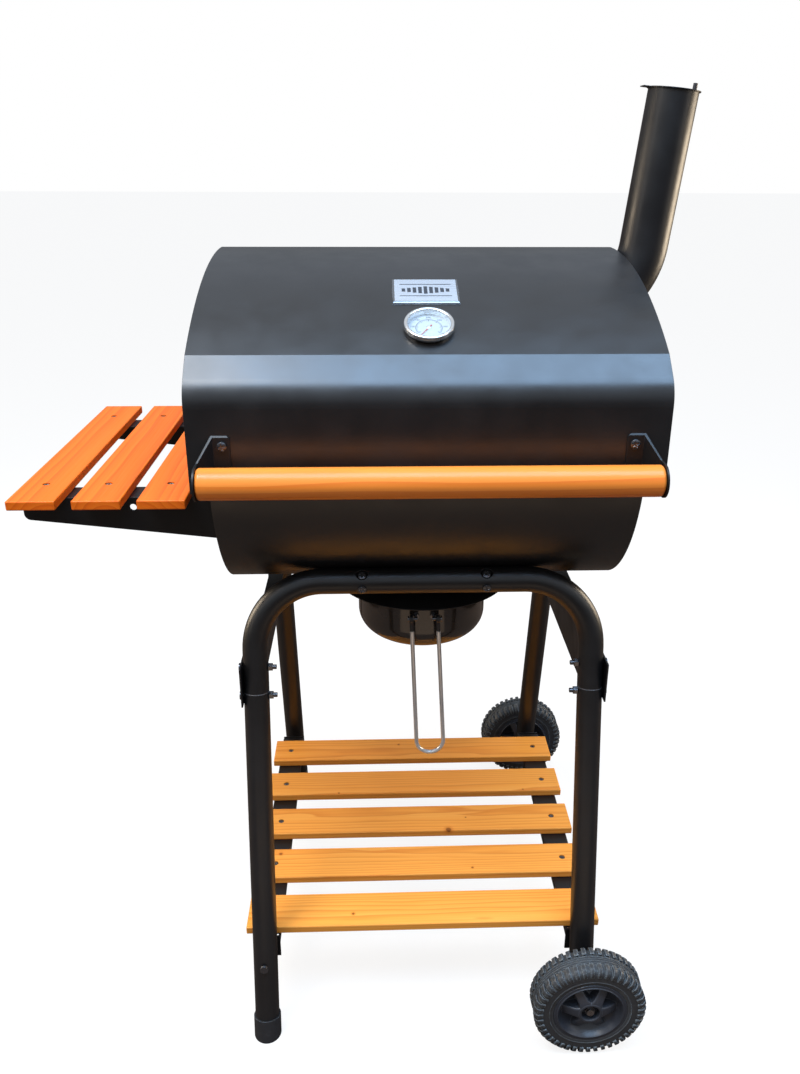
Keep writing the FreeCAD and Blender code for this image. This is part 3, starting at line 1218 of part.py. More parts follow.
def thermometer_nut():
    """The nut and washer that clamp the stem from inside the lid."""
    nut = hexagon("stem_hexagon", ("0", "0", "-gauge - 5"), "8", "4", FreeCAD.Rotation())
    washer = rod("stem_washer", ("0", "0", "-gauge - 1.2"), "10", "1")
    bore = rod("stem_nut_bore", ("0", "0", "-20"), "stem_r", "30")
    return on_gauge("stem_nut_placed", cut("stem_nut_ring", fuse("stem_nut_solid", nut, washer), bore))


def badge_plate():
    """A thin plate rolled to the lid's curve."""
    low, high = "-badge_low_y", "-badge_high_y"
    outer = "top_r + badge_thick"
    line = free_sketch("badge_line", (low, roof_height("badge_low_y")), [
        (high, roof_height("badge_high_y"), "top_r", -1),
        (high, roof_height("badge_high_y", outer)),
        (low, roof_height("badge_low_y", outer), outer, 1),
        (low, roof_height("badge_low_y")),
    ])
    return extrude("badge", line, V(1, 0, 0), "badge_x - badge_half", "2 * badge_half")


node(thermometer_case(), "thermometer_case")
node(thermometer_dial(), "thermometer_dial")
node(thermometer_pointer(), "thermometer_pointer")
node(thermometer_lens(), "thermometer_lens")
node(lid_fasteners(), "lid_fasteners")
node(badge_plate(), "badge_plate")


# ------------------------------------------------------------------------------- checks and export
doc.recompute()
failed = [thing.Name for thing in doc.Objects if {"Invalid", "Error"} & set(thing.State)]
for thing in nodes:
    if thing.Shape.isNull() or not thing.Shape.isValid() or thing.Shape.Volume <= 0:
        failed.append(thing.Label)
if failed:
    raise RuntimeError("not built: " + ", ".join(failed))
os.makedirs("parts", exist_ok=True)
outline_box = FreeCAD.BoundBox()
for thing in nodes:
    thing.Shape.exportStep(f"parts/{thing.Label}.step")
    outline_box.add(thing.Shape.optimalBoundingBox(False))
print(len(nodes), "sub-parts")
print(f"X {outline_box.XMin:.2f} to {outline_box.XMax:.2f}, Y {outline_box.YMin:.2f} to {outline_box.YMax:.2f},",
      f"Z {outline_box.ZMin:.2f} to {outline_box.ZMax:.2f}")
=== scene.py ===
"""The barrel grill's looks: a material for every CAD node, and detailed tyres, hubs, screws, dial and badge.

Metres, in the frame's own axes: X along the barrel, -Y the front, Z up. Every place comes from the frame.
"""
import bmesh
import bpy
import json
import math
from mathutils import Matrix, Vector


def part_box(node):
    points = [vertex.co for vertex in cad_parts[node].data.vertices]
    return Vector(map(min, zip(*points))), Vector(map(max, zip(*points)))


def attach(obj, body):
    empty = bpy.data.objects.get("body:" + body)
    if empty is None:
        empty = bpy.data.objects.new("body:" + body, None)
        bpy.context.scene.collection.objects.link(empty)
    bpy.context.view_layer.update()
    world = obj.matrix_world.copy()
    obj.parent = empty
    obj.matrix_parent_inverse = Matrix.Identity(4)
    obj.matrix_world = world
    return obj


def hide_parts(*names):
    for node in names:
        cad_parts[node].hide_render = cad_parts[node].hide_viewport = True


MM = 0.001
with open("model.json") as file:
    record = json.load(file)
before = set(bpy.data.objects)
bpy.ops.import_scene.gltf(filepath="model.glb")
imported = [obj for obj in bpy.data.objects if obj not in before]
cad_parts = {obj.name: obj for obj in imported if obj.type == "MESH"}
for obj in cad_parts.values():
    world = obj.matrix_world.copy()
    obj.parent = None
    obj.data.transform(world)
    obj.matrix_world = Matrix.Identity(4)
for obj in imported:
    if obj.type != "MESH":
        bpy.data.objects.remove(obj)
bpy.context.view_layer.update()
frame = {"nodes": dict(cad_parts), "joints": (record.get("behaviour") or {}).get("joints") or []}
nodes = frame["nodes"]
joints = {joint["name"]: joint for joint in frame["joints"]}


def centre(name):
    """The middle of a node's box."""
    low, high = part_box(name)
    return (low + high) / 2


# ---------------------------------------------------------------------------------------- material kit
class Shade:
    """One material's node tree, with a short call for each kind of node that the recipes need."""

    def __init__(self, name, colour=(0.5, 0.5, 0.5), **sockets):
        self.material = bpy.data.materials.new(name)
        self.material.use_nodes = True
        self.tree = self.material.node_tree
        self.shader = self.tree.nodes["Principled BSDF"]
        self.shader.inputs["Base Color"].default_value = (*colour, 1)
        for socket, value in sockets.items():
            self.shader.inputs[socket.replace("_", " ").title().replace("Ior", "IOR")].default_value = value
        self.place = self.add("ShaderNodeTexCoord").outputs["Object"]

    def add(self, kind, inputs=(), **settings):
        """Adds a node, with its settings and the values or links of its inputs."""
        made = self.tree.nodes.new(kind)
        for key, value in settings.items():
            setattr(made, key, value)
        for key, value in dict(inputs).items():
            self.feed(made.inputs[key], value)
        return made

    def feed(self, socket, value):
        """Links a socket to another node, or sets its value."""
        if isinstance(value, bpy.types.NodeSocket):
            self.tree.links.new(value, socket)
        else:
            socket.default_value = value

    def drive(self, socket, value):
        """Feeds one of the main shader's sockets."""
        self.feed(self.shader.inputs[socket], value)

    def moved(self, offset=(0, 0, 0), scale=(1, 1, 1), turn=(0, 0, 0)):
        """The object's own coordinates, shifted, turned and stretched."""
        return self.add("ShaderNodeMapping", {"Vector": self.place, "Location": offset, "Rotation": turn,
                                              "Scale": scale}).outputs["Vector"]

    def noise(self, scale, detail=2.0, roughness=0.5, where=None):
        return self.add("ShaderNodeTexNoise", {
            "Vector": where or self.place, "Scale": scale, "Detail": detail,
            "Roughness": roughness}).outputs["Fac"]

    def span(self, value, low, high, out_low, out_high, smooth=False):
        """Maps low..high to out_low..out_high, clamped."""
        kind = "SMOOTHSTEP" if smooth else "LINEAR"
        return self.add("ShaderNodeMapRange", {
            "Value": value, "From Min": low, "From Max": high, "To Min": out_low, "To Max": out_high},
            interpolation_type=kind).outputs["Result"]

    def ramp(self, value, stops):
        """Turns a value into a colour; stops are (position, colour) pairs."""
        made = self.add("ShaderNodeValToRGB", {"Fac": value})
        band = made.color_ramp
        while len(band.elements) < len(stops):
            band.elements.new(0.5)
        for element, (position, colour) in zip(band.elements, stops):
            element.position = position
            element.color = (*colour, 1)
        return made.outputs["Color"]

    def mix(self, amount, first, second, blend="MIX"):
        made = self.add("ShaderNodeMix", data_type="RGBA", blend_type=blend)
        for socket, value in zip((made.inputs[0], made.inputs[6], made.inputs[7]), (amount, first, second)):
            self.feed(socket, (*value, 1) if isinstance(value, tuple) and len(value) == 3 else value)
        return made.outputs[2]

    def maths(self, first, second=None, operation="ADD"):
        """One sum of two values, or of one value where the operation needs no second."""
        values = {0: first} if second is None else {0: first, 1: second}
        return self.add("ShaderNodeMath", values, operation=operation).outputs[0]

    def part(self, axis):
        """One coordinate of the object's own place: 0, 1 or 2 for X, Y or Z."""
        return self.add("ShaderNodeSeparateXYZ", {"Vector": self.place}).outputs[axis]

    def distance(self, spot):
        return self.add("ShaderNodeVectorMath", {0: self.place, 1: spot},
                        operation="DISTANCE").outputs["Value"]

    def soft_edges(self, radius):
        return self.add("ShaderNodeBevel", {"Radius": radius}, samples=4).outputs["Normal"]

    def worn_edges(self, radius):
        """0 on flat surfaces, rising to 1 along outer and inner edges."""
        true_normal = self.add("ShaderNodeNewGeometry").outputs["True Normal"]
        likeness = self.add("ShaderNodeVectorMath", {0: self.soft_edges(radius), 1: true_normal},
                            operation="DOT_PRODUCT").outputs["Value"]
        return self.span(likeness, 0.98, 0.8, 0, 1)

    def bump(self, height, depth, under=None, strength=1.0):
        inputs = {"Height": height, "Distance": depth, "Strength": strength}
        if under is not None:
            inputs["Normal"] = under
        return self.add("ShaderNodeBump", inputs).outputs["Normal"]


# ------------------------------------------------------------------------------- colours and wood places
# The arch tubes end in a joint with the legs: the legs' lean, and the place of that joint at either side.
LEAN, SEAM_Y, SEAM_Z = math.radians(12.35), 0.171, 0.472
# A wave texture of scale 1 repeats at this distance.
WAVE_LENGTH = 2 * math.pi / 20
DUST, BARE_EDGE, SEAM_GREY = (0.17, 0.165, 0.16), (0.20, 0.20, 0.21), (0.16, 0.16, 0.17)
PINE = ((0.97, 0.42, 0.080), (0.94, 0.355, 0.050), (0.72, 0.20, 0.020))
STAIN = ((0.92, 0.192, 0.012), (0.88, 0.148, 0.007), (0.68, 0.096, 0.004))
GRIP = ((1.0, 0.31, 0.048), (1.0, 0.27, 0.034), (0.82, 0.165, 0.016))
BLACK = (0.0062, 0.0060, 0.0066)
WOODEN = [f"bottom_slat_{index}" for index in range(1, 6)] + [f"side_slat_{index}" for index in range(1, 4)]
WOOD_CENTRES = {name: centre(name) for name in [*WOODEN, "handle_grip"]}


# ------------------------------------------------------------------------------------ material recipes
def seam_distance(made):
    """How far a place is, along the leaning legs, from the joint between leg and arch."""
    outward = made.maths(made.part(1), operation="ABSOLUTE")
    along = made.maths(made.maths(outward, math.sin(LEAN), "MULTIPLY"),
                       made.maths(made.part(2), -math.cos(LEAN), "MULTIPLY"))
    seam = SEAM_Z * math.cos(LEAN) - SEAM_Y * math.sin(LEAN)
    return made.maths(made.maths(along, seam), operation="ABSOLUTE")


def satin_paint(name, colour, roughness, shine=0.85, edge=0.7 * MM, waviness=0.0, seams=False):
    """Heat-resistant satin paint: orange peel, faint dust, rubbed edges and, on large sheets, slow waves."""
    made = Shade(name, colour, specular_ior_level=shine)
    patches = made.noise(9, 3)
    dust = made.noise(420, 2, 0.7)
    dark = tuple(value * 0.8 for value in colour)
    light = tuple(value * 1.25 + 0.001 for value in colour)
    tone = made.mix(made.span(patches, 0.35, 0.65, 0, 1), dark, light)
    tone = made.mix(made.span(dust, 0.68, 0.8, 0, 0.08), tone, DUST)
    rubbed = made.maths(made.worn_edges(edge), made.span(made.noise(60, 3), 0.4, 0.7, 0.05, 0.35), "MULTIPLY")
    tone = made.mix(rubbed, tone, BARE_EDGE)
    if seams:
        near_seam = made.span(seam_distance(made), 0.25 * MM, 0.9 * MM, 0.8, 0, smooth=True)
        tone = made.mix(near_seam, tone, SEAM_GREY)
    made.drive("Base Color", tone)
    made.drive("Roughness", made.span(made.noise(26, 4), 0.3, 0.7, roughness - 0.04, roughness + 0.06))
    normal = made.soft_edges(edge)
    if waviness:
        normal = made.bump(made.noise(7, 1), waviness, normal)
    made.drive("Normal", made.bump(made.noise(1500, 1), 0.04 * MM, normal, 0.5))
    return made.material


def enamel(name):
    """Glossy, slightly uneven vitreous enamel in near black."""
    made = Shade(name, (0.03, 0.024, 0.02), roughness=0.14, coat_weight=0.6, coat_roughness=0.05)
    made.drive("Base Color",
               made.ramp(made.noise(12, 2), [(0.3, (0.022, 0.018, 0.016)), (0.7, (0.04, 0.031, 0.025))]))
    made.drive("Normal", made.bump(made.noise(45, 2), 0.25 * MM, None, 0.35))
    return made.material


def wood(name, axis, tones, seed, gloss, knots=(), coat=0.0, spacing=3.8 * MM, streaks=1.0):
    """Flat-sawn board: fine wavy growth lines about a pith below it, long fibres and knots.

    tones are light earlywood, middle and dark latewood; seed shifts the board in the tree.
    """
    made = Shade(name, tones[1], specular_ior_level=0.25, coat_weight=coat, coat_roughness=0.16)
    long, across = "XYZ".index(axis), 1 if axis == "X" else 0
    stretch = [1.0, 1.0, 1.0]
    stretch[long] = 0.11
    pith = [0.0, 0.0, 0.0]
    pith[long] = 0.37 * seed
    pith[across] = -WOOD_CENTRES[name][across] + 0.03 * math.sin(seed * 1.7)
    pith[2] = -WOOD_CENTRES[name][2] + 0.035 + 0.012 * math.sin(seed * 2.4)
    grown = made.moved(tuple(pith), tuple(stretch))
    wave = made.add("ShaderNodeTexWave", {
        "Vector": grown, "Scale": WAVE_LENGTH / spacing, "Distortion": 7.0, "Detail": 2.0,
        "Detail Scale": 0.45, "Detail Roughness": 0.55},
        wave_type="RINGS", rings_direction=axis, wave_profile="SAW").outputs["Fac"]
    thin = [420.0, 420.0, 420.0]
    thin[long] = 8.0
    fibres = made.noise(1.0, 3, 0.6, where=made.moved((seed, seed, 0), tuple(thin)))
    broad = made.noise(6.0, 2, where=made.moved((seed * 3, 0, seed), tuple(stretch)))
    colour = made.ramp(wave, [(0.0, tones[0]), (0.6, tones[1]), (0.93, tones[2]), (1.0, tones[0])])
    colour = made.mix(0.35, colour, made.ramp(broad, [(0.3, tones[0]), (0.72, tones[1])]))
    colour = made.mix(made.span(fibres, 0.45, 0.75, 0, 0.3 * streaks), colour, tones[2])
    for spot, size in knots:
        reach = made.maths(made.distance(spot), made.maths(made.noise(120, 2), 0.5 * size, "MULTIPLY"))
        halo = made.span(reach, size * 0.7, size * 2.2, 0.8, 0.0, smooth=True)
        core = made.span(reach, size * 0.75, size * 1.15, 0.9, 0.0, smooth=True)
        colour = made.mix(halo, colour, tones[2])
        colour = made.mix(core, colour, tuple(value * 0.35 for value in tones[2]))
    made.drive("Base Color", colour)
    made.drive("Roughness", made.span(fibres, 0.3, 0.8, gloss, gloss + 0.16))
    height = made.maths(made.maths(wave, 0.3, "MULTIPLY"), fibres)
    made.drive("Normal", made.bump(height, 0.08 * MM * streaks, made.soft_edges(0.5 * MM), 0.6))
    return made.material


def rubber(name, colour, roughness, dusty, worn=(0.16, 0.19, 0.22), edge=0.5 * MM):
    """Moulded plastic or rubber: fine mottling, pale rubbed edges, and dust in patches."""
    made = Shade(name, colour, specular_ior_level=0.55)
    scuffs = made.noise(130, 5, 0.75)
    patches = made.noise(16, 2)
    dust = made.maths(made.span(scuffs, 0.52, 0.72, 0, dusty), made.span(patches, 0.35, 0.65, 0.25, 1),
                      "MULTIPLY")
    tone = made.mix(dust, colour, DUST)
    rubbed = made.maths(made.worn_edges(edge), made.span(scuffs, 0.3, 0.6, 0.3, 1), "MULTIPLY")
    made.drive("Base Color", made.mix(rubbed, tone, worn))
    made.drive("Roughness", made.span(patches, 0.3, 0.7, roughness - 0.06, roughness + 0.1))
    made.drive("Normal", made.bump(scuffs, 0.12 * MM, made.soft_edges(0.4 * MM), 0.5))
    return made.material


def metal(name, colour, roughness, brushed=None, tarnish=0.12, metallic=1.0):
    """Bare or plated steel; brushed gives the stretch of its scratches along each axis."""
    made = Shade(name, colour, metallic=metallic)
    where = made.moved(scale=brushed or (300, 300, 300))
    lines = made.noise(1.0, 2, 0.6, where=where)
    grey = tuple(value * 0.55 for value in colour)
    made.drive("Base Color", made.mix(made.span(made.noise(60, 4), 0.5, 0.75, 0, tarnish * 2), colour, grey))
    made.drive("Roughness", made.span(lines, 0.3, 0.7, roughness * 0.75, roughness * 1.3))
    made.drive("Normal", made.bump(lines, 0.02 * MM, made.soft_edges(0.3 * MM), 0.4))
    return made.material


def wire_steel(name, dark_above):
    """Bright zinc wire that turns near black, less metallic and rougher, from that height up."""
    made = Shade(name, (0.8, 0.8, 0.79))
    mask = made.span(made.maths(made.part(2), made.maths(made.noise(300, 1), 0.002, "MULTIPLY")),
                     dark_above, dark_above + 2 * MM, 0, 1)
    streaks = made.noise(1.0, 2, where=made.moved(scale=(900, 900, 60)))
    bright = made.ramp(streaks, [(0.3, (0.60, 0.60, 0.59)), (0.7, (0.84, 0.84, 0.83))])
    made.drive("Base Color", made.mix(mask, bright, (0.02, 0.02, 0.022)))
    made.drive("Metallic", made.span(mask, 0, 1, 0.55, 0))
    made.drive("Roughness", made.span(mask, 0, 1, 0.2, 0.45))
    made.drive("Normal", made.bump(streaks, 0.03 * MM, None, 0.4))
    return made.material


def plain(name, colour, roughness, **sockets):
    """Small moulded or printed things: one colour, broken up by a fine texture."""
    made = Shade(name, colour, **sockets)
    grain = made.noise(700, 2)
    made.drive("Base Color", made.mix(made.span(grain, 0.35, 0.65, 0, 0.25), colour,
                                      tuple(value * 0.7 for value in colour)))
    made.drive("Roughness", made.span(made.noise(60, 2), 0.3, 0.7, roughness - 0.05, roughness + 0.08))
    made.drive("Normal", made.bump(grain, 0.03 * MM, made.soft_edges(0.3 * MM), 0.4))
    return made.material


def clear_lens(name):
    """Thin clear glass, a little smeared."""
    made = Shade(name, (0.95, 0.97, 0.98), alpha=0.05, specular_ior_level=0.25)
    made.drive("Roughness", made.span(made.noise(200, 3), 0.55, 0.8, 0.03, 0.12))
    return made.material


lid_paint = satin_paint("lid_paint", BLACK, 0.34, waviness=0.35 * MM)
tube_paint = satin_paint("tube_paint", BLACK, 0.36, shine=0.74, seams=True)
plate_paint = satin_paint("plate_paint", (0.0050, 0.0047, 0.0049), 0.42, shine=0.45)
screw_black = plain("screw_black", (0.16, 0.16, 0.17), 0.20, metallic=0.9)
axle_steel = metal("axle_steel", (0.30, 0.28, 0.27), 0.32)
# Zinc darkened far below bright zinc: painted shade of the countersunk holes that the wood screws sit in.
screw_zinc_shaded = metal("screw_zinc_shaded", (0.16, 0.14, 0.125), 0.34)
zinc = metal("zinc", (0.74, 0.74, 0.73), 0.28)
chrome = metal("chrome", (0.78, 0.78, 0.77), 0.16)
bezel_steel = metal("bezel_steel", (0.88, 0.88, 0.88), 0.22, brushed=(900, 60, 60), tarnish=0.04)
tyre_rubber = rubber("tyre_rubber", (0.037, 0.038, 0.040), 0.48, 0.24, worn=(0.27, 0.32, 0.35), edge=0.9 * MM)
hub_plastic = rubber("hub_plastic", (0.032, 0.036, 0.046), 0.32, 0.08, worn=(0.11, 0.12, 0.14), edge=0.8 * MM)
cap_plastic = rubber("cap_plastic", (0.018, 0.018, 0.02), 0.5, 0.12)
dial_paint = plain("dial_paint", (0.42, 0.48, 0.52), 0.45)
ink = plain("ink", (0.03, 0.035, 0.045), 0.5)
needle_red = plain("needle_red", (0.45, 0.06, 0.03), 0.4)
badge_silver = metal("badge_silver", (0.58, 0.62, 0.68), 0.3, brushed=(40, 900, 900), tarnish=0.04,
                     metallic=0.6)
# A darker copy of the badge metal for the bevel's sloped faces: painted shade on the rim.
badge_rim_shade = metal("badge_rim_shade", (0.30, 0.31, 0.33), 0.22)


# ---------------------------------------------------------------------------------- materials on CAD nodes
def dress(name, material):
    """Gives a CAD node its only material."""
    made = nodes[name]
    made.data.materials.clear()
    made.data.materials.append(material)


for name in nodes:
    dress(name, plate_paint)
for name in ("lid_shell", "lid_end_left", "lid_end_right", "firebox_trough", "firebox_end_left",
             "firebox_end_right"):
    dress(name, lid_paint)
for name in ("front_arch_tube", "rear_arch_tube", "front_left_leg", "front_right_leg", "rear_left_leg",
             "rear_right_leg", "chimney_pipe", "chimney_flange", "chimney_cap"):
    dress(name, tube_paint)
for name in ("frame_bolts", "firebox_fasteners", "wood_screws", "lid_fasteners", "bail_studs",
             "chimney_cap_pin"):
    dress(name, screw_black)
dress("thermometer_pointer", needle_red)
dress("hinge_pins", zinc)
dress("axle", axle_steel)
for name in ("cooking_grate_left", "cooking_grate_right"):
    dress(name, chrome)
dress("foot_caps", cap_plastic)
dress("ash_bowl", enamel("bowl_enamel"))
# The wire is drawn near black over this length below the bail's top.
BAIL_DARK_TOP = 24 * MM
dress("ash_bowl_bail", wire_steel("bail_wire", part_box("ash_bowl_bail")[1].z - BAIL_DARK_TOP))
dress("thermometer_case", bezel_steel)
dress("thermometer_dial", dial_paint)
dress("thermometer_lens", clear_lens("lens_clear"))
dress("badge_plate", badge_silver)
# The knots in each lower slat: shares of its length and of its width, and a radius in millimetres.
KNOTS = {
    1: ((0.30, 0.35, 2.4),),
    2: ((0.07, 0.82, 3.0), (0.66, 0.2, 1.8)),
    3: ((0.60, 0.04, 5.4), (0.66, 0.5, 1.3)),
    4: ((0.24, 0.05, 1.9), (0.87, 0.06, 1.7)),
    5: ((0.45, 0.7, 2.2),),
}
for index, spots in KNOTS.items():
    name = f"bottom_slat_{index}"
    low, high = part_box(name)
    places = [((low.x + share * (high.x - low.x), low.y + depth * (high.y - low.y), high.z), size * MM)
              for share, depth, size in spots]
    dress(name, wood(name, "X", PINE, index + 0.35, 0.44, places))
for index in range(1, 4):
    dress(f"side_slat_{index}", wood(f"side_slat_{index}", "Y", STAIN, index + 5.2, 0.34, coat=0.05,
                                    spacing=8 * MM, streaks=0.5))
dress("handle_grip", wood("handle_grip", "X", GRIP, 3.3, 0.34, coat=0.3, spacing=7 * MM, streaks=0.35))


# ----------------------------------------------------------------------------------------- mesh kit
def add_mesh(name, bm, material, body, crease=35.0, bevel=0.0):
    """Turns a bmesh in row coordinates into a shown piece that rides on a body."""
    bmesh.ops.recalc_face_normals(bm, faces=bm.faces)
    mesh = bpy.data.meshes.new(name)
    bm.to_mesh(mesh)
    bm.free()
    mesh.materials.append(material)
    for face in mesh.polygons:
        face.use_smooth = True
    made = bpy.data.objects.new(name, mesh)
    bpy.context.scene.collection.objects.link(made)
    if bevel:
        rounding = made.modifiers.new("rounding", "BEVEL")
        rounding.width = bevel
        rounding.segments = 2
        rounding.limit_method = "ANGLE"
        rounding.angle_limit = math.radians(crease)
        rounding.harden_normals = True
        settle(made)
    made.data.set_sharp_from_angle(angle=math.radians(crease))
    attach(made, body)
    return made


def settle(made):
    """Applies a piece's modifiers."""
    graph = bpy.context.evaluated_depsgraph_get()
    mesh = bpy.data.meshes.new_from_object(made.evaluated_get(graph))
    made.modifiers.clear()
    made.data = mesh


def turned(bm, profile, steps, spin):
    """Adds a solid of revolution about local Z; profile is a closed chain of (radius, height)."""
    rings = []
    for radius, height in profile:
        if radius < 1e-7:
            rings.append([bm.verts.new(spin @ Vector((0, 0, height)))])
        else:
            rings.append([bm.verts.new(spin @ Vector((radius * math.cos(a), radius * math.sin(a), height)))
                          for a in (2 * math.pi * step / steps for step in range(steps))])
    for ring, after in zip(rings, rings[1:] + rings[:1]):
        for step in range(steps):
            following = (step + 1) % steps
            corners = [ring[step % len(ring)], ring[following % len(ring)],
                       after[following % len(after)], after[step % len(after)]]
            kept = [corner for place, corner in enumerate(corners) if corner not in corners[:place]]
            if len(kept) > 2:
                bm.faces.new(kept)


def prism(bm, outline, low, high, spin):
    """Adds a prism whose (x, y) outline is extruded from one height to another."""
    under = [bm.verts.new(spin @ Vector((x, y, low))) for x, y in outline]
    over = [bm.verts.new(spin @ Vector((x, y, high))) for x, y in outline]
    bm.faces.new(under[::-1])
    bm.faces.new(over)
    for place, _ in enumerate(outline):
        after = (place + 1) % len(outline)
        bm.faces.new((under[place], under[after], over[after], over[place]))


def arc(middle, radius, start, stop, steps):
    """Points along an arc; the angles are in degrees."""
    return [(middle[0] + radius * math.cos(math.radians(a)), middle[1] + radius * math.sin(math.radians(a)))
            for a in (start + (stop - start) * step / steps for step in range(steps + 1))]


# ------------------------------------------------------------------------------------------- wheels
AXLE_SPIN = Matrix.Rotation(math.radians(-90), 4, "X")
LUGS = 44
LUG_RISE = 3.4 * MM
LUG_INNER_EDGE = 7.2 * MM
# As shares of the distance from one lug to the next.
LUG_HALF, LUG_STAGGER = 0.26, 0.25


def tyre_base(half, outer):
    """Half of the tyre's section from the tread's middle to the bead, as (radius, height)."""
    tread, wall = outer - LUG_RISE, half - 1.3 * MM
    bead = outer - 25.5 * MM
    rib = []
    for middle in (1.9 * MM, 4.6 * MM):
        rib += [(tread, middle - 1.0 * MM), (tread + 1.5 * MM, middle - 0.5 * MM),
                (tread + 1.5 * MM, middle + 0.5 * MM), (tread, middle + 1.0 * MM)]
    return [
        (tread, 0), *rib, (tread, half - 7 * MM), (tread - 1.4 * MM, half - 4 * MM),
        (tread - 4.4 * MM, wall - 0.5 * MM), (outer - 12.5 * MM, wall), (outer - 19.4 * MM, wall - 0.1 * MM),
        (outer - 19.8 * MM, wall + 0.5 * MM), (outer - 20.4 * MM, wall + 0.5 * MM),
        (outer - 20.8 * MM, wall - 0.2 * MM), (bead + 1 * MM, wall - 0.3 * MM), (bead, wall - 1 * MM)]


def lug_outline(half, outer):
    """A tread lug's outline as (height across the tyre, radius), from the tread over the shoulder."""
    sunk = outer - LUG_RISE - 1 * MM
    return [
        (LUG_INNER_EDGE, sunk), (LUG_INNER_EDGE, outer - 0.3 * MM), (half - 5 * MM, outer),
        (half - 1 * MM, outer - 3.4 * MM), (half, outer - 5.6 * MM), (half, outer - 11.6 * MM),
        (half - 2.4 * MM, outer - 11.6 * MM), (half - 3 * MM, outer - 8 * MM), (half - 7 * MM, sunk)]


def tyre(end):
    """A tyre with two staggered rows of lugs that wrap over its shoulders."""
    node = f"{end}_wheel_tyre"
    low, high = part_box(node)
    outer, half = (high.z - low.z) / 2, (high.y - low.y) / 2
    spin = Matrix.Translation(centre(node)) @ AXLE_SPIN
    bm = bmesh.new()
    side = tyre_base(half, outer)
    turned(bm, side + [(r, -z) for r, z in side[:0:-1]], 176, spin)
    pitch = 2 * math.pi / LUGS
    for lug in range(LUGS):
        for way in (1, -1):
            angle = pitch * (lug + LUG_STAGGER * way)
            rows = []
            for turn in (angle - LUG_HALF * pitch, angle + LUG_HALF * pitch):
                rows.append([])
                for height, radius in lug_outline(half, outer):
                    rows[-1].append(bm.verts.new(spin @ Vector(
                        (radius * math.cos(turn), radius * math.sin(turn), height * way))))
            bm.faces.new(rows[0])
            bm.faces.new(rows[1][::-1])
            for place, _ in enumerate(rows[0]):
                after = (place + 1) % len(rows[0])
                bm.faces.new((rows[0][place], rows[1][place], rows[1][after], rows[0][after]))
    made = add_mesh(f"{end}_tyre_tread", bm, tyre_rubber, f"wheel_{end}", crease=38, bevel=0.3 * MM)
    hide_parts(node)


def spoke_section(width, foot, top):
    """A rounded rib's section as (across, height) pairs, from its left foot over the top."""
    corner = 2.6 * MM
    return [(-width, foot), *arc((corner - width, top - corner), corner, 180, 90, 5),
            *arc((width - corner, top - corner), corner, 90, 0, 5), (width, foot)]


def hub(end):
    """A dished hub: smooth bowl, six rounded spokes on each face and a deeply recessed boss."""
    node = f"{end}_wheel_hub"
    low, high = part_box(node)
    outer, half = (high.z - low.z) / 2, (high.y - low.y) / 2
    spin = Matrix.Translation(centre(node)) @ AXLE_SPIN
    boss, recess, bore, lip, web = 16 * MM, 11.8 * MM, 5.1 * MM, 42.3 * MM, 3 * MM
    rim = [
        (outer + 0.1 * MM, half - 2 * MM), (outer - 0.4 * MM, half - 1.2 * MM), (lip + 1.8 * MM, half - 1 * MM),
        (lip + 1.2 * MM, half - 0.2 * MM), (lip + 0.4 * MM, half - 0.2 * MM), (lip - 0.4 * MM, half - 1.2 * MM)]
    dish = [
        (lip - 2 * MM, half - 4.6 * MM), (lip - 4.5 * MM, half - 8.6 * MM), (lip - 8 * MM, half - 12.6 * MM),
        (lip - 12.5 * MM, half - 16 * MM), (lip - 17.5 * MM, web + 1 * MM), (boss + 4.5 * MM, web)]
    collar = [
        (boss + 1.8 * MM, web + 1.6 * MM), (boss + 0.8 * MM, web + 5 * MM), (boss + 0.2 * MM, half - 2.6 * MM),
        (boss - 0.2 * MM, half - 0.9 * MM), (boss - 1.2 * MM, half), (recess + 0.9 * MM, half),
        (recess, half - 0.9 * MM), (recess - 0.3 * MM, half - 9.9 * MM), (bore, half - 9.9 * MM)]
    side = rim + dish + collar
    bm = bmesh.new()
    turned(bm, side + [(r, -z) for r, z in side[::-1]], 96, spin)
    # Places along a spoke, from boss to rim: radius, half width, and how far its top lies below the face.
    stations = ((boss - 2.8 * MM, 9.0 * MM, 0.3 * MM), (boss + 0.5 * MM, 8.0 * MM, 0.7 * MM),
                (boss + 3.5 * MM, 7.0 * MM, 1.7 * MM), (boss + 9 * MM, 6.6 * MM, 4.0 * MM),
                (boss + 15 * MM, 6.4 * MM, 7.0 * MM), (lip - 6 * MM, 6.6 * MM, 10.6 * MM))
    for spoke in range(6):
        turn = spin @ Matrix.Rotation(math.radians(60 * spoke), 4, "Z")
        for way in (1, -1):
            rings = [[bm.verts.new(turn @ Vector((radius, across, height * way)))
                      for across, height in spoke_section(width, web * 0.5, half - drop)]
                     for radius, width, drop in stations]
            for ring, after in zip(rings, rings[1:]):
                for place, _ in enumerate(ring):
                    following = (place + 1) % len(ring)
                    bm.faces.new((ring[place], ring[following], after[following], after[place]))
            bm.faces.new(rings[0])
            bm.faces.new(rings[-1][::-1])
    made = add_mesh(f"{end}_hub_moulding", bm, hub_plastic, f"wheel_{end}", crease=40)
    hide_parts(node)


for end in ("front", "rear"):
    tyre(end)
    hub(end)


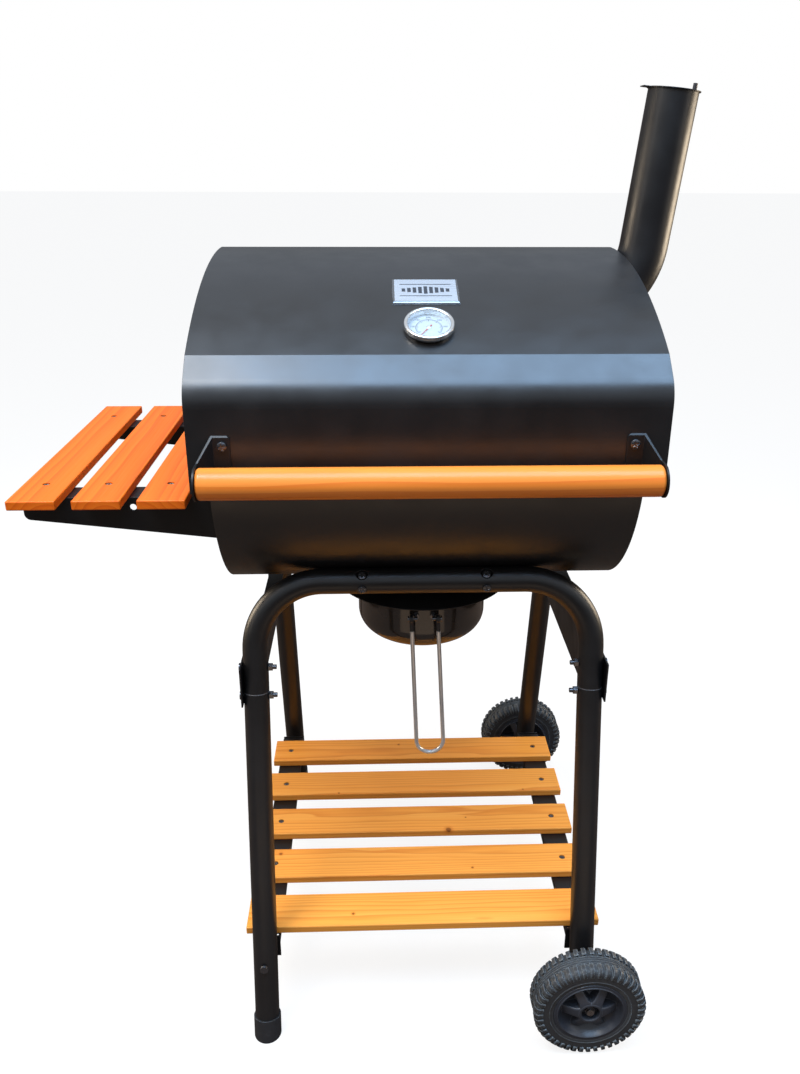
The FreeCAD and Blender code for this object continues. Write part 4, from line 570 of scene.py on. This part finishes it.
# ------------------------------------------------------------------------------------- screws
def flat_ends(name):
    """Every screw head in a node: the middle, outward direction and radius of its largest flat disc."""
    bm = bmesh.new()
    bm.from_mesh(nodes[name].data)
    bmesh.ops.remove_doubles(bm, verts=bm.verts, dist=1e-6)
    waiting = set(bm.faces)
    found = []
    while waiting:
        island, edge = set(), [waiting.pop()]
        while edge:
            face = edge.pop()
            island.add(face)
            for line in face.edges:
                for other in line.link_faces:
                    if other in waiting:
                        waiting.discard(other)
                        edge.append(other)
        discs = {}
        for face in island:
            level = face.normal.dot(face.calc_center_median())
            key = tuple(round(value, 2) for value in face.normal) + (round(level, 4),)
            discs.setdefault(key, []).append(face)
        disc = max(discs.values(), key=lambda faces: sum(face.calc_area() for face in faces))
        area = sum(face.calc_area() for face in disc)
        middle = sum((face.calc_center_median() * face.calc_area() for face in disc), Vector()) / area
        found.append((middle, disc[0].normal.copy(), math.sqrt(area / math.pi)))
    bm.free()
    return found


# How far a dome's skirt goes down into its screw, and its share of the head's radius.
DOME_SUNK, DOME_SHARE = 0.6 * MM, 0.97
# The turn from one screw's cross to the next, in degrees.
SCREW_TWIST = 37


def crossed_dome(bm, spin, radius, rise):
    """Adds a domed cap with a cross-shaped recess, on local Z = 0."""
    rings, steps = 12, 48
    slot_half, slot_long, slot_deep = 0.16 * radius, 0.62 * radius, rise * 1.1

    def height(x, y):
        dome = rise * (1 - ((x * x + y * y) / radius ** 2) ** 1.3)
        arm = min(max(abs(x) - slot_half, abs(y) - slot_long), max(abs(y) - slot_half, abs(x) - slot_long))
        return dome - slot_deep * min(1, max(0, 0.5 - arm / (0.09 * radius)))

    middle = bm.verts.new(spin @ Vector((0, 0, height(0, 0))))
    last = [middle] * steps
    for ring in range(1, rings + 1):
        reach = radius * ring / rings
        now = []
        for step in range(steps):
            x, y = reach * math.cos(2 * math.pi * step / steps), reach * math.sin(2 * math.pi * step / steps)
            now.append(bm.verts.new(spin @ Vector((x, y, height(x, y)))))
        for step in range(steps):
            after = (step + 1) % steps
            corners = [last[step], now[step], now[after]]
            bm.faces.new(corners if ring == 1 else corners + [last[after]])
        last = now
    skirt = [bm.verts.new(spin @ Vector((radius * math.cos(2 * math.pi * step / steps),
                                         radius * math.sin(2 * math.pi * step / steps), -DOME_SUNK)))
             for step in range(steps)]
    for step in range(steps):
        after = (step + 1) % steps
        bm.faces.new((last[step], skirt[step], skirt[after], last[after]))
    bm.faces.new(skirt[::-1])


def cap_screws(name, body, material, rise):
    """A crossed dome on the head of each screw in a node."""
    bm = bmesh.new()
    for index, (middle, outward, radius) in enumerate(flat_ends(name)):
        spin = Matrix.Translation(middle) @ outward.to_track_quat("Z", "Y").to_matrix().to_4x4()
        twist = Matrix.Rotation(math.radians(SCREW_TWIST * index), 4, "Z")
        crossed_dome(bm, spin @ twist, radius * DOME_SHARE, rise)
    add_mesh(f"{name}_crosses", bm, material, body, crease=30)


cap_screws("firebox_fasteners", "frame", screw_black, 1.1 * MM)
cap_screws("lid_fasteners", "lid", screw_black, 1.1 * MM)
# The wood screws' caps take the darkened zinc: painted shade of their holes.
cap_screws("wood_screws", "frame", screw_zinc_shaded, 0.7 * MM)


# ------------------------------------------------------------------------------- thermometer and badge
GAUGE = joints["pointer_turn"]
GAUGE_OUT = Vector(GAUGE["axis"]).normalized()
GAUGE_RIGHT = Vector((1, 0, 0))
# The dial's first and last mark, in degrees from the right, and how far print stands proud.
DIAL_START, DIAL_STOP = 215, -35
INK_RISE = 0.08 * MM
# The radii of the dial's line, of its marks' outer ends and of its numbers, and the numbers' height.
DIAL_LINE, MARK_END, NUMBER_RADIUS, NUMBER_SIZE = 14.5 * MM, 14.6 * MM, 18.4 * MM, 3.6 * MM


def on_lid(middle, out):
    """A frame on the lid's top sheet: local X to the right, Y up the slope and Z out of the sheet."""
    axes = Matrix((GAUGE_RIGHT, out.cross(GAUGE_RIGHT), out)).transposed().to_4x4()
    return Matrix.Translation(Vector(middle)) @ axes


def on_top(name, middle, out):
    """The point above the middle at which a node's surface is highest along that direction."""
    level = max(out.dot(vertex.co) for vertex in nodes[name].data.vertices)
    return Vector(middle) + out * (level - out.dot(Vector(middle)))


def rolled_bezel():
    """The thermometer's rolled bright rim."""
    low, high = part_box("thermometer_case")
    radius, band = (high.x - low.x) / 2, 4.5 * MM
    roll = [(radius - band / 2 + r, 0.75 * z) for r, z in arc((0, 0), band / 2, 180, 0, 10)]
    bm = bmesh.new()
    place = on_top("thermometer_case", GAUGE["pos_m"], GAUGE_OUT)
    turned(bm, roll + [(radius, -0.8 * MM), (radius - band, -0.8 * MM)], 96, on_lid(place, GAUGE_OUT))
    made = add_mesh("gauge_bezel", bm, bezel_steel, "lid", crease=50)


def needle_boss():
    """The small turned steel cap that holds the needle."""
    place = on_top("thermometer_pointer", GAUGE["pos_m"], GAUGE_OUT)
    bm = bmesh.new()
    cap = [(0, 1.0 * MM), (1.4 * MM, 0.9 * MM), (2.2 * MM, 0.4 * MM), (2.4 * MM, -0.4 * MM), (0, -0.4 * MM)]
    turned(bm, cap, 32, on_lid(place, GAUGE_OUT))
    add_mesh("needle_cap", bm, bezel_steel, "pointer", crease=40)


def dial_marks():
    """Scale ticks, an arc line and plain numbers printed on the dial."""
    sheet = on_lid(on_top("thermometer_dial", GAUGE["pos_m"], GAUGE_OUT), GAUGE_OUT)
    bm = bmesh.new()
    marks = 25
    for mark in range(marks):
        angle = math.radians(DIAL_START + (DIAL_STOP - DIAL_START) * mark / (marks - 1))
        long = mark % 4 == 0
        turn = sheet @ Matrix.Rotation(angle, 4, "Z")
        inner, half = (11.6 if long else 12.8) * MM, (0.36 if long else 0.22) * MM
        prism(bm, [(inner, -half), (MARK_END, -half), (MARK_END, half), (inner, half)], 0, INK_RISE, turn)
    steps = 60
    ring = (arc((0, 0), DIAL_LINE + 0.5 * MM, DIAL_START, DIAL_STOP, steps)
            + arc((0, 0), DIAL_LINE, DIAL_STOP, DIAL_START, steps))
    for place in range(steps):
        corners = (ring[place], ring[place + 1], ring[2 * steps - place], ring[2 * steps + 1 - place])
        prism(bm, corners, 0, INK_RISE, sheet)
    numbers = 7
    for step in range(numbers):
        angle = math.radians(DIAL_START + (DIAL_STOP - DIAL_START) * step / (numbers - 1))
        spot = (NUMBER_RADIUS * math.cos(angle), NUMBER_RADIUS * math.sin(angle))
        lettered(bm, str(50 * (step + 1)), spot, sheet)
    add_mesh("dial_marks", bm, ink, "lid")


def lettered(bm, text, spot, sheet):
    """Adds the number as a thin flat relief, centred on the spot."""
    curve = bpy.data.curves.new("number", "FONT")
    curve.body, curve.size = text, NUMBER_SIZE
    curve.align_x, curve.align_y = "CENTER", "CENTER"
    curve.extrude = INK_RISE / 2
    maker = bpy.data.objects.new("number", curve)
    bpy.context.scene.collection.objects.link(maker)
    graph = bpy.context.evaluated_depsgraph_get()
    mesh = bpy.data.meshes.new_from_object(maker.evaluated_get(graph))
    mesh.transform(sheet @ Matrix.Translation((*spot, INK_RISE / 2)))
    bm.from_mesh(mesh)
    bpy.data.meshes.remove(mesh)
    bpy.data.objects.remove(maker)
    bpy.data.curves.remove(curve)


def slab(bm, x, y, half_x, half_y, low, sheet):
    """A thin printed rectangle on the badge; the sizes are in millimetres."""
    corners = [(x - half_x, y - half_y), (x + half_x, y - half_y), (x + half_x, y + half_y),
               (x - half_x, y + half_y)]
    prism(bm, [(a * MM, b * MM) for a, b in corners], low, low + INK_RISE, sheet)


def badge():
    """A bevelled plate with a plain row of bars between two lines, in place of any lettering."""
    low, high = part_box("badge_plate")
    facing = Vector()
    for face in nodes["badge_plate"].data.polygons:
        if face.normal.z > 0.5:
            facing += face.normal * face.area
    facing.x = 0
    facing.normalize()
    sheet = on_lid(on_top("badge_plate", (low + high) / 2, facing), facing)
    wide = (high.x - low.x) / 2
    tall = (high.y - low.y) / 2 / facing.z
    rim, rise = 2.4 * MM, 1.2 * MM
    bm = bmesh.new()
    outer = [(-wide, -tall), (wide, -tall), (wide, tall), (-wide, tall)]
    inner = [(x - math.copysign(rim, x), y - math.copysign(rim, y)) for x, y in outer]
    levels = [[bm.verts.new(sheet @ Vector((x, y, z))) for x, y in corners]
              for corners, z in ((outer, -0.6 * MM), (outer, 0), (inner, rise))]
    for under, over in zip(levels, levels[1:]):
        for place in range(4):
            after = (place + 1) % 4
            bm.faces.new((under[place], under[after], over[after], over[place]))
    bm.faces.new(levels[-1])
    bm.faces.new(levels[0][::-1])
    made = add_mesh("badge_face", bm, badge_silver, "lid", crease=20, bevel=0.25 * MM)
    # Every face that does not face straight out takes the darker copy of the metal: painted shade along the
    # bevelled rim.
    made.data.materials.append(badge_rim_shade)
    for face in made.data.polygons:
        face.material_index = 0 if face.normal.dot(facing) > 0.97 else 1
    bm = bmesh.new()
    for y in (14, -14):
        slab(bm, 0, y, 30, 0.7, rise, sheet)
    for bar in range(-4, 5):
        slab(bm, 6.4 * bar, 0, 2.1, 9.0 - 1.3 * abs(bar), rise, sheet)
    add_mesh("badge_print", bm, ink, "lid")


rolled_bezel()
needle_boss()
dial_marks()
badge()


# ------------------------------------------------------------------------------------- camera and stage
CAMERA_PLACE = (0.00225, -1.179, 1.100)
LENS, SENSOR_WIDE = 30.88123, 36
# The picture's middle lies a little off the lens's axis, by these shares of its height.
SHIFT = (-0.008687, -0.003845)
PITCH, YAW, ROLL = (math.radians(angle) for angle in (22.302, 2.124, -0.2447))
FLOOR_HALF = 30
# What the floor shows to the camera by itself, what it adds where light falls, and what it throws back up.
FLOOR_GLOW, FLOOR_SOFT, FLOOR_BOUNCE = 0.84, (0.18, 0.18, 0.18, 1), (0.105, 0.080, 0.066, 1)
SKY_STOPS = [(0.0, (0.12, 0.09, 0.075)), (0.06, (0.17, 0.14, 0.13)), (0.30, (0.55, 0.60, 0.66)),
             (0.62, (0.80, 0.88, 1.0)), (1.0, (0.95, 0.98, 1.0))]
SKY_STRENGTH = 0.68


def photographer():
    """The camera: its axes are built from its heading, its downward tilt and a slight roll."""
    ahead = Vector((math.sin(YAW) * math.cos(PITCH), math.cos(YAW) * math.cos(PITCH), -math.sin(PITCH)))
    level = Vector((math.cos(YAW), -math.sin(YAW), 0))
    down = ahead.cross(level)
    right = math.cos(ROLL) * level + math.sin(ROLL) * down
    below = -math.sin(ROLL) * level + math.cos(ROLL) * down
    data = bpy.data.cameras.new("camera")
    data.sensor_width = SENSOR_WIDE
    data.lens = LENS
    data.shift_x, data.shift_y = SHIFT
    camera = bpy.data.objects.new("camera", data)
    axes = Matrix((right, -below, -ahead)).transposed().to_4x4()
    camera.matrix_world = Matrix.Translation(CAMERA_PLACE) @ axes
    bpy.context.scene.collection.objects.link(camera)
    bpy.context.scene.camera = camera


def softbox(name, place, aim, wide, high, power, colour):
    """A soft rectangular lamp of some watts, aimed at a point and hidden from the camera."""
    data = bpy.data.lights.new(name, "AREA")
    data.shape = "RECTANGLE"
    data.size, data.size_y = wide, high
    data.energy = power
    data.color = colour
    light = bpy.data.objects.new(name, data)
    light.location = place
    light.rotation_euler = (Vector(aim) - Vector(place)).to_track_quat("-Z", "Y").to_euler()
    light.visible_camera = False
    bpy.context.scene.collection.objects.link(light)


def sky():
    """Soft daylight, cool overhead and warm towards the floor; the camera sees a white backdrop."""
    world = bpy.data.worlds.new("studio")
    world.use_nodes = True
    tree = world.node_tree
    tree.nodes.clear()
    made = {key: tree.nodes.new("ShaderNode" + kind) for key, kind in (
        ("place", "TexCoord"), ("height", "SeparateXYZ"), ("ramp", "ValToRGB"), ("seen", "LightPath"),
        ("lit", "Background"), ("backdrop", "Background"), ("mixed", "MixShader"), ("out", "OutputWorld"))}
    band = made["ramp"].color_ramp
    while len(band.elements) < len(SKY_STOPS):
        band.elements.new(0.5)
    for element, (position, colour) in zip(band.elements, SKY_STOPS):
        element.position = position
        element.color = (*colour, 1)
    made["backdrop"].inputs["Color"].default_value = (1, 1, 1, 1)
    made["lit"].inputs["Strength"].default_value = SKY_STRENGTH
    for source, output, target, socket in (
            ("place", "Generated", "height", "Vector"), ("height", "Z", "ramp", "Fac"),
            ("ramp", "Color", "lit", "Color"), ("seen", "Is Camera Ray", "mixed", 0), ("lit", 0, "mixed", 1),
            ("backdrop", 0, "mixed", 2), ("mixed", 0, "out", "Surface")):
        tree.links.new(made[source].outputs[output], made[target].inputs[socket])
    bpy.context.scene.world = world


def floor():
    """A pale sheet that looks near white, keeps a soft shadow, and throws little light back up."""
    bm = bmesh.new()
    corners = ((-FLOOR_HALF, -FLOOR_HALF), (FLOOR_HALF, -FLOOR_HALF), (FLOOR_HALF, FLOOR_HALF),
               (-FLOOR_HALF, FLOOR_HALF))
    bm.faces.new([bm.verts.new((x, y, 0)) for x, y in corners])
    mesh = bpy.data.meshes.new("floor")
    bm.to_mesh(mesh)
    bm.free()
    ground = Shade("floor_pale", (0.5, 0.5, 0.5), roughness=0.9, specular_ior_level=0.0)
    tree = ground.tree
    glow = ground.add("ShaderNodeEmission", {"Color": (1, 1, 1, 1), "Strength": FLOOR_GLOW})
    soft = ground.add("ShaderNodeBsdfDiffuse", {"Color": FLOOR_SOFT})
    dark = ground.add("ShaderNodeBsdfDiffuse", {"Color": FLOOR_BOUNCE})
    both = ground.add("ShaderNodeAddShader")
    seen = ground.add("ShaderNodeLightPath")
    choice = ground.add("ShaderNodeMixShader", {0: seen.outputs["Is Camera Ray"]})
    for source, target in ((glow.outputs[0], both.inputs[0]), (soft.outputs[0], both.inputs[1]),
                           (dark.outputs[0], choice.inputs[1]), (both.outputs[0], choice.inputs[2]),
                           (choice.outputs[0], tree.nodes["Material Output"].inputs["Surface"])):
        tree.links.new(source, target)
    mesh.materials.append(ground.material)
    made = bpy.data.objects.new("floor", mesh)
    bpy.context.scene.collection.objects.link(made)


photographer()
sky()
floor()
softbox("overhead", (0.05, -0.80, 2.86), (0.05, -0.75, 0.9), 2.6, 1.3, 88, (0.41, 0.66, 1.0))
softbox("warm_key", (-1.1, -0.8, 3.0), (0.0, -0.05, 0.3), 0.9, 0.9, 44, (1.0, 0.84, 0.62))
softbox("low_front", (0.05, -0.85, 0.04), (0.05, -0.27, 0.78), 1.3, 0.3, 0.6, (1.0, 0.72, 0.48))
for side in (-1, 1):
    softbox(f"low_side_{side}", (1.7 * side, 0.45, 0.85), (0, 0.05, 0.12), 0.7, 0.7, 15, (1.0, 0.82, 0.60))
    softbox(f"tall_side_{side}", (2.6 * side, -1.1, 1.5), (0, 0, 0.7), 0.4, 1.8, 4, (1.0, 0.93, 0.85))
bpy.context.scene.view_settings.view_transform = "Standard"
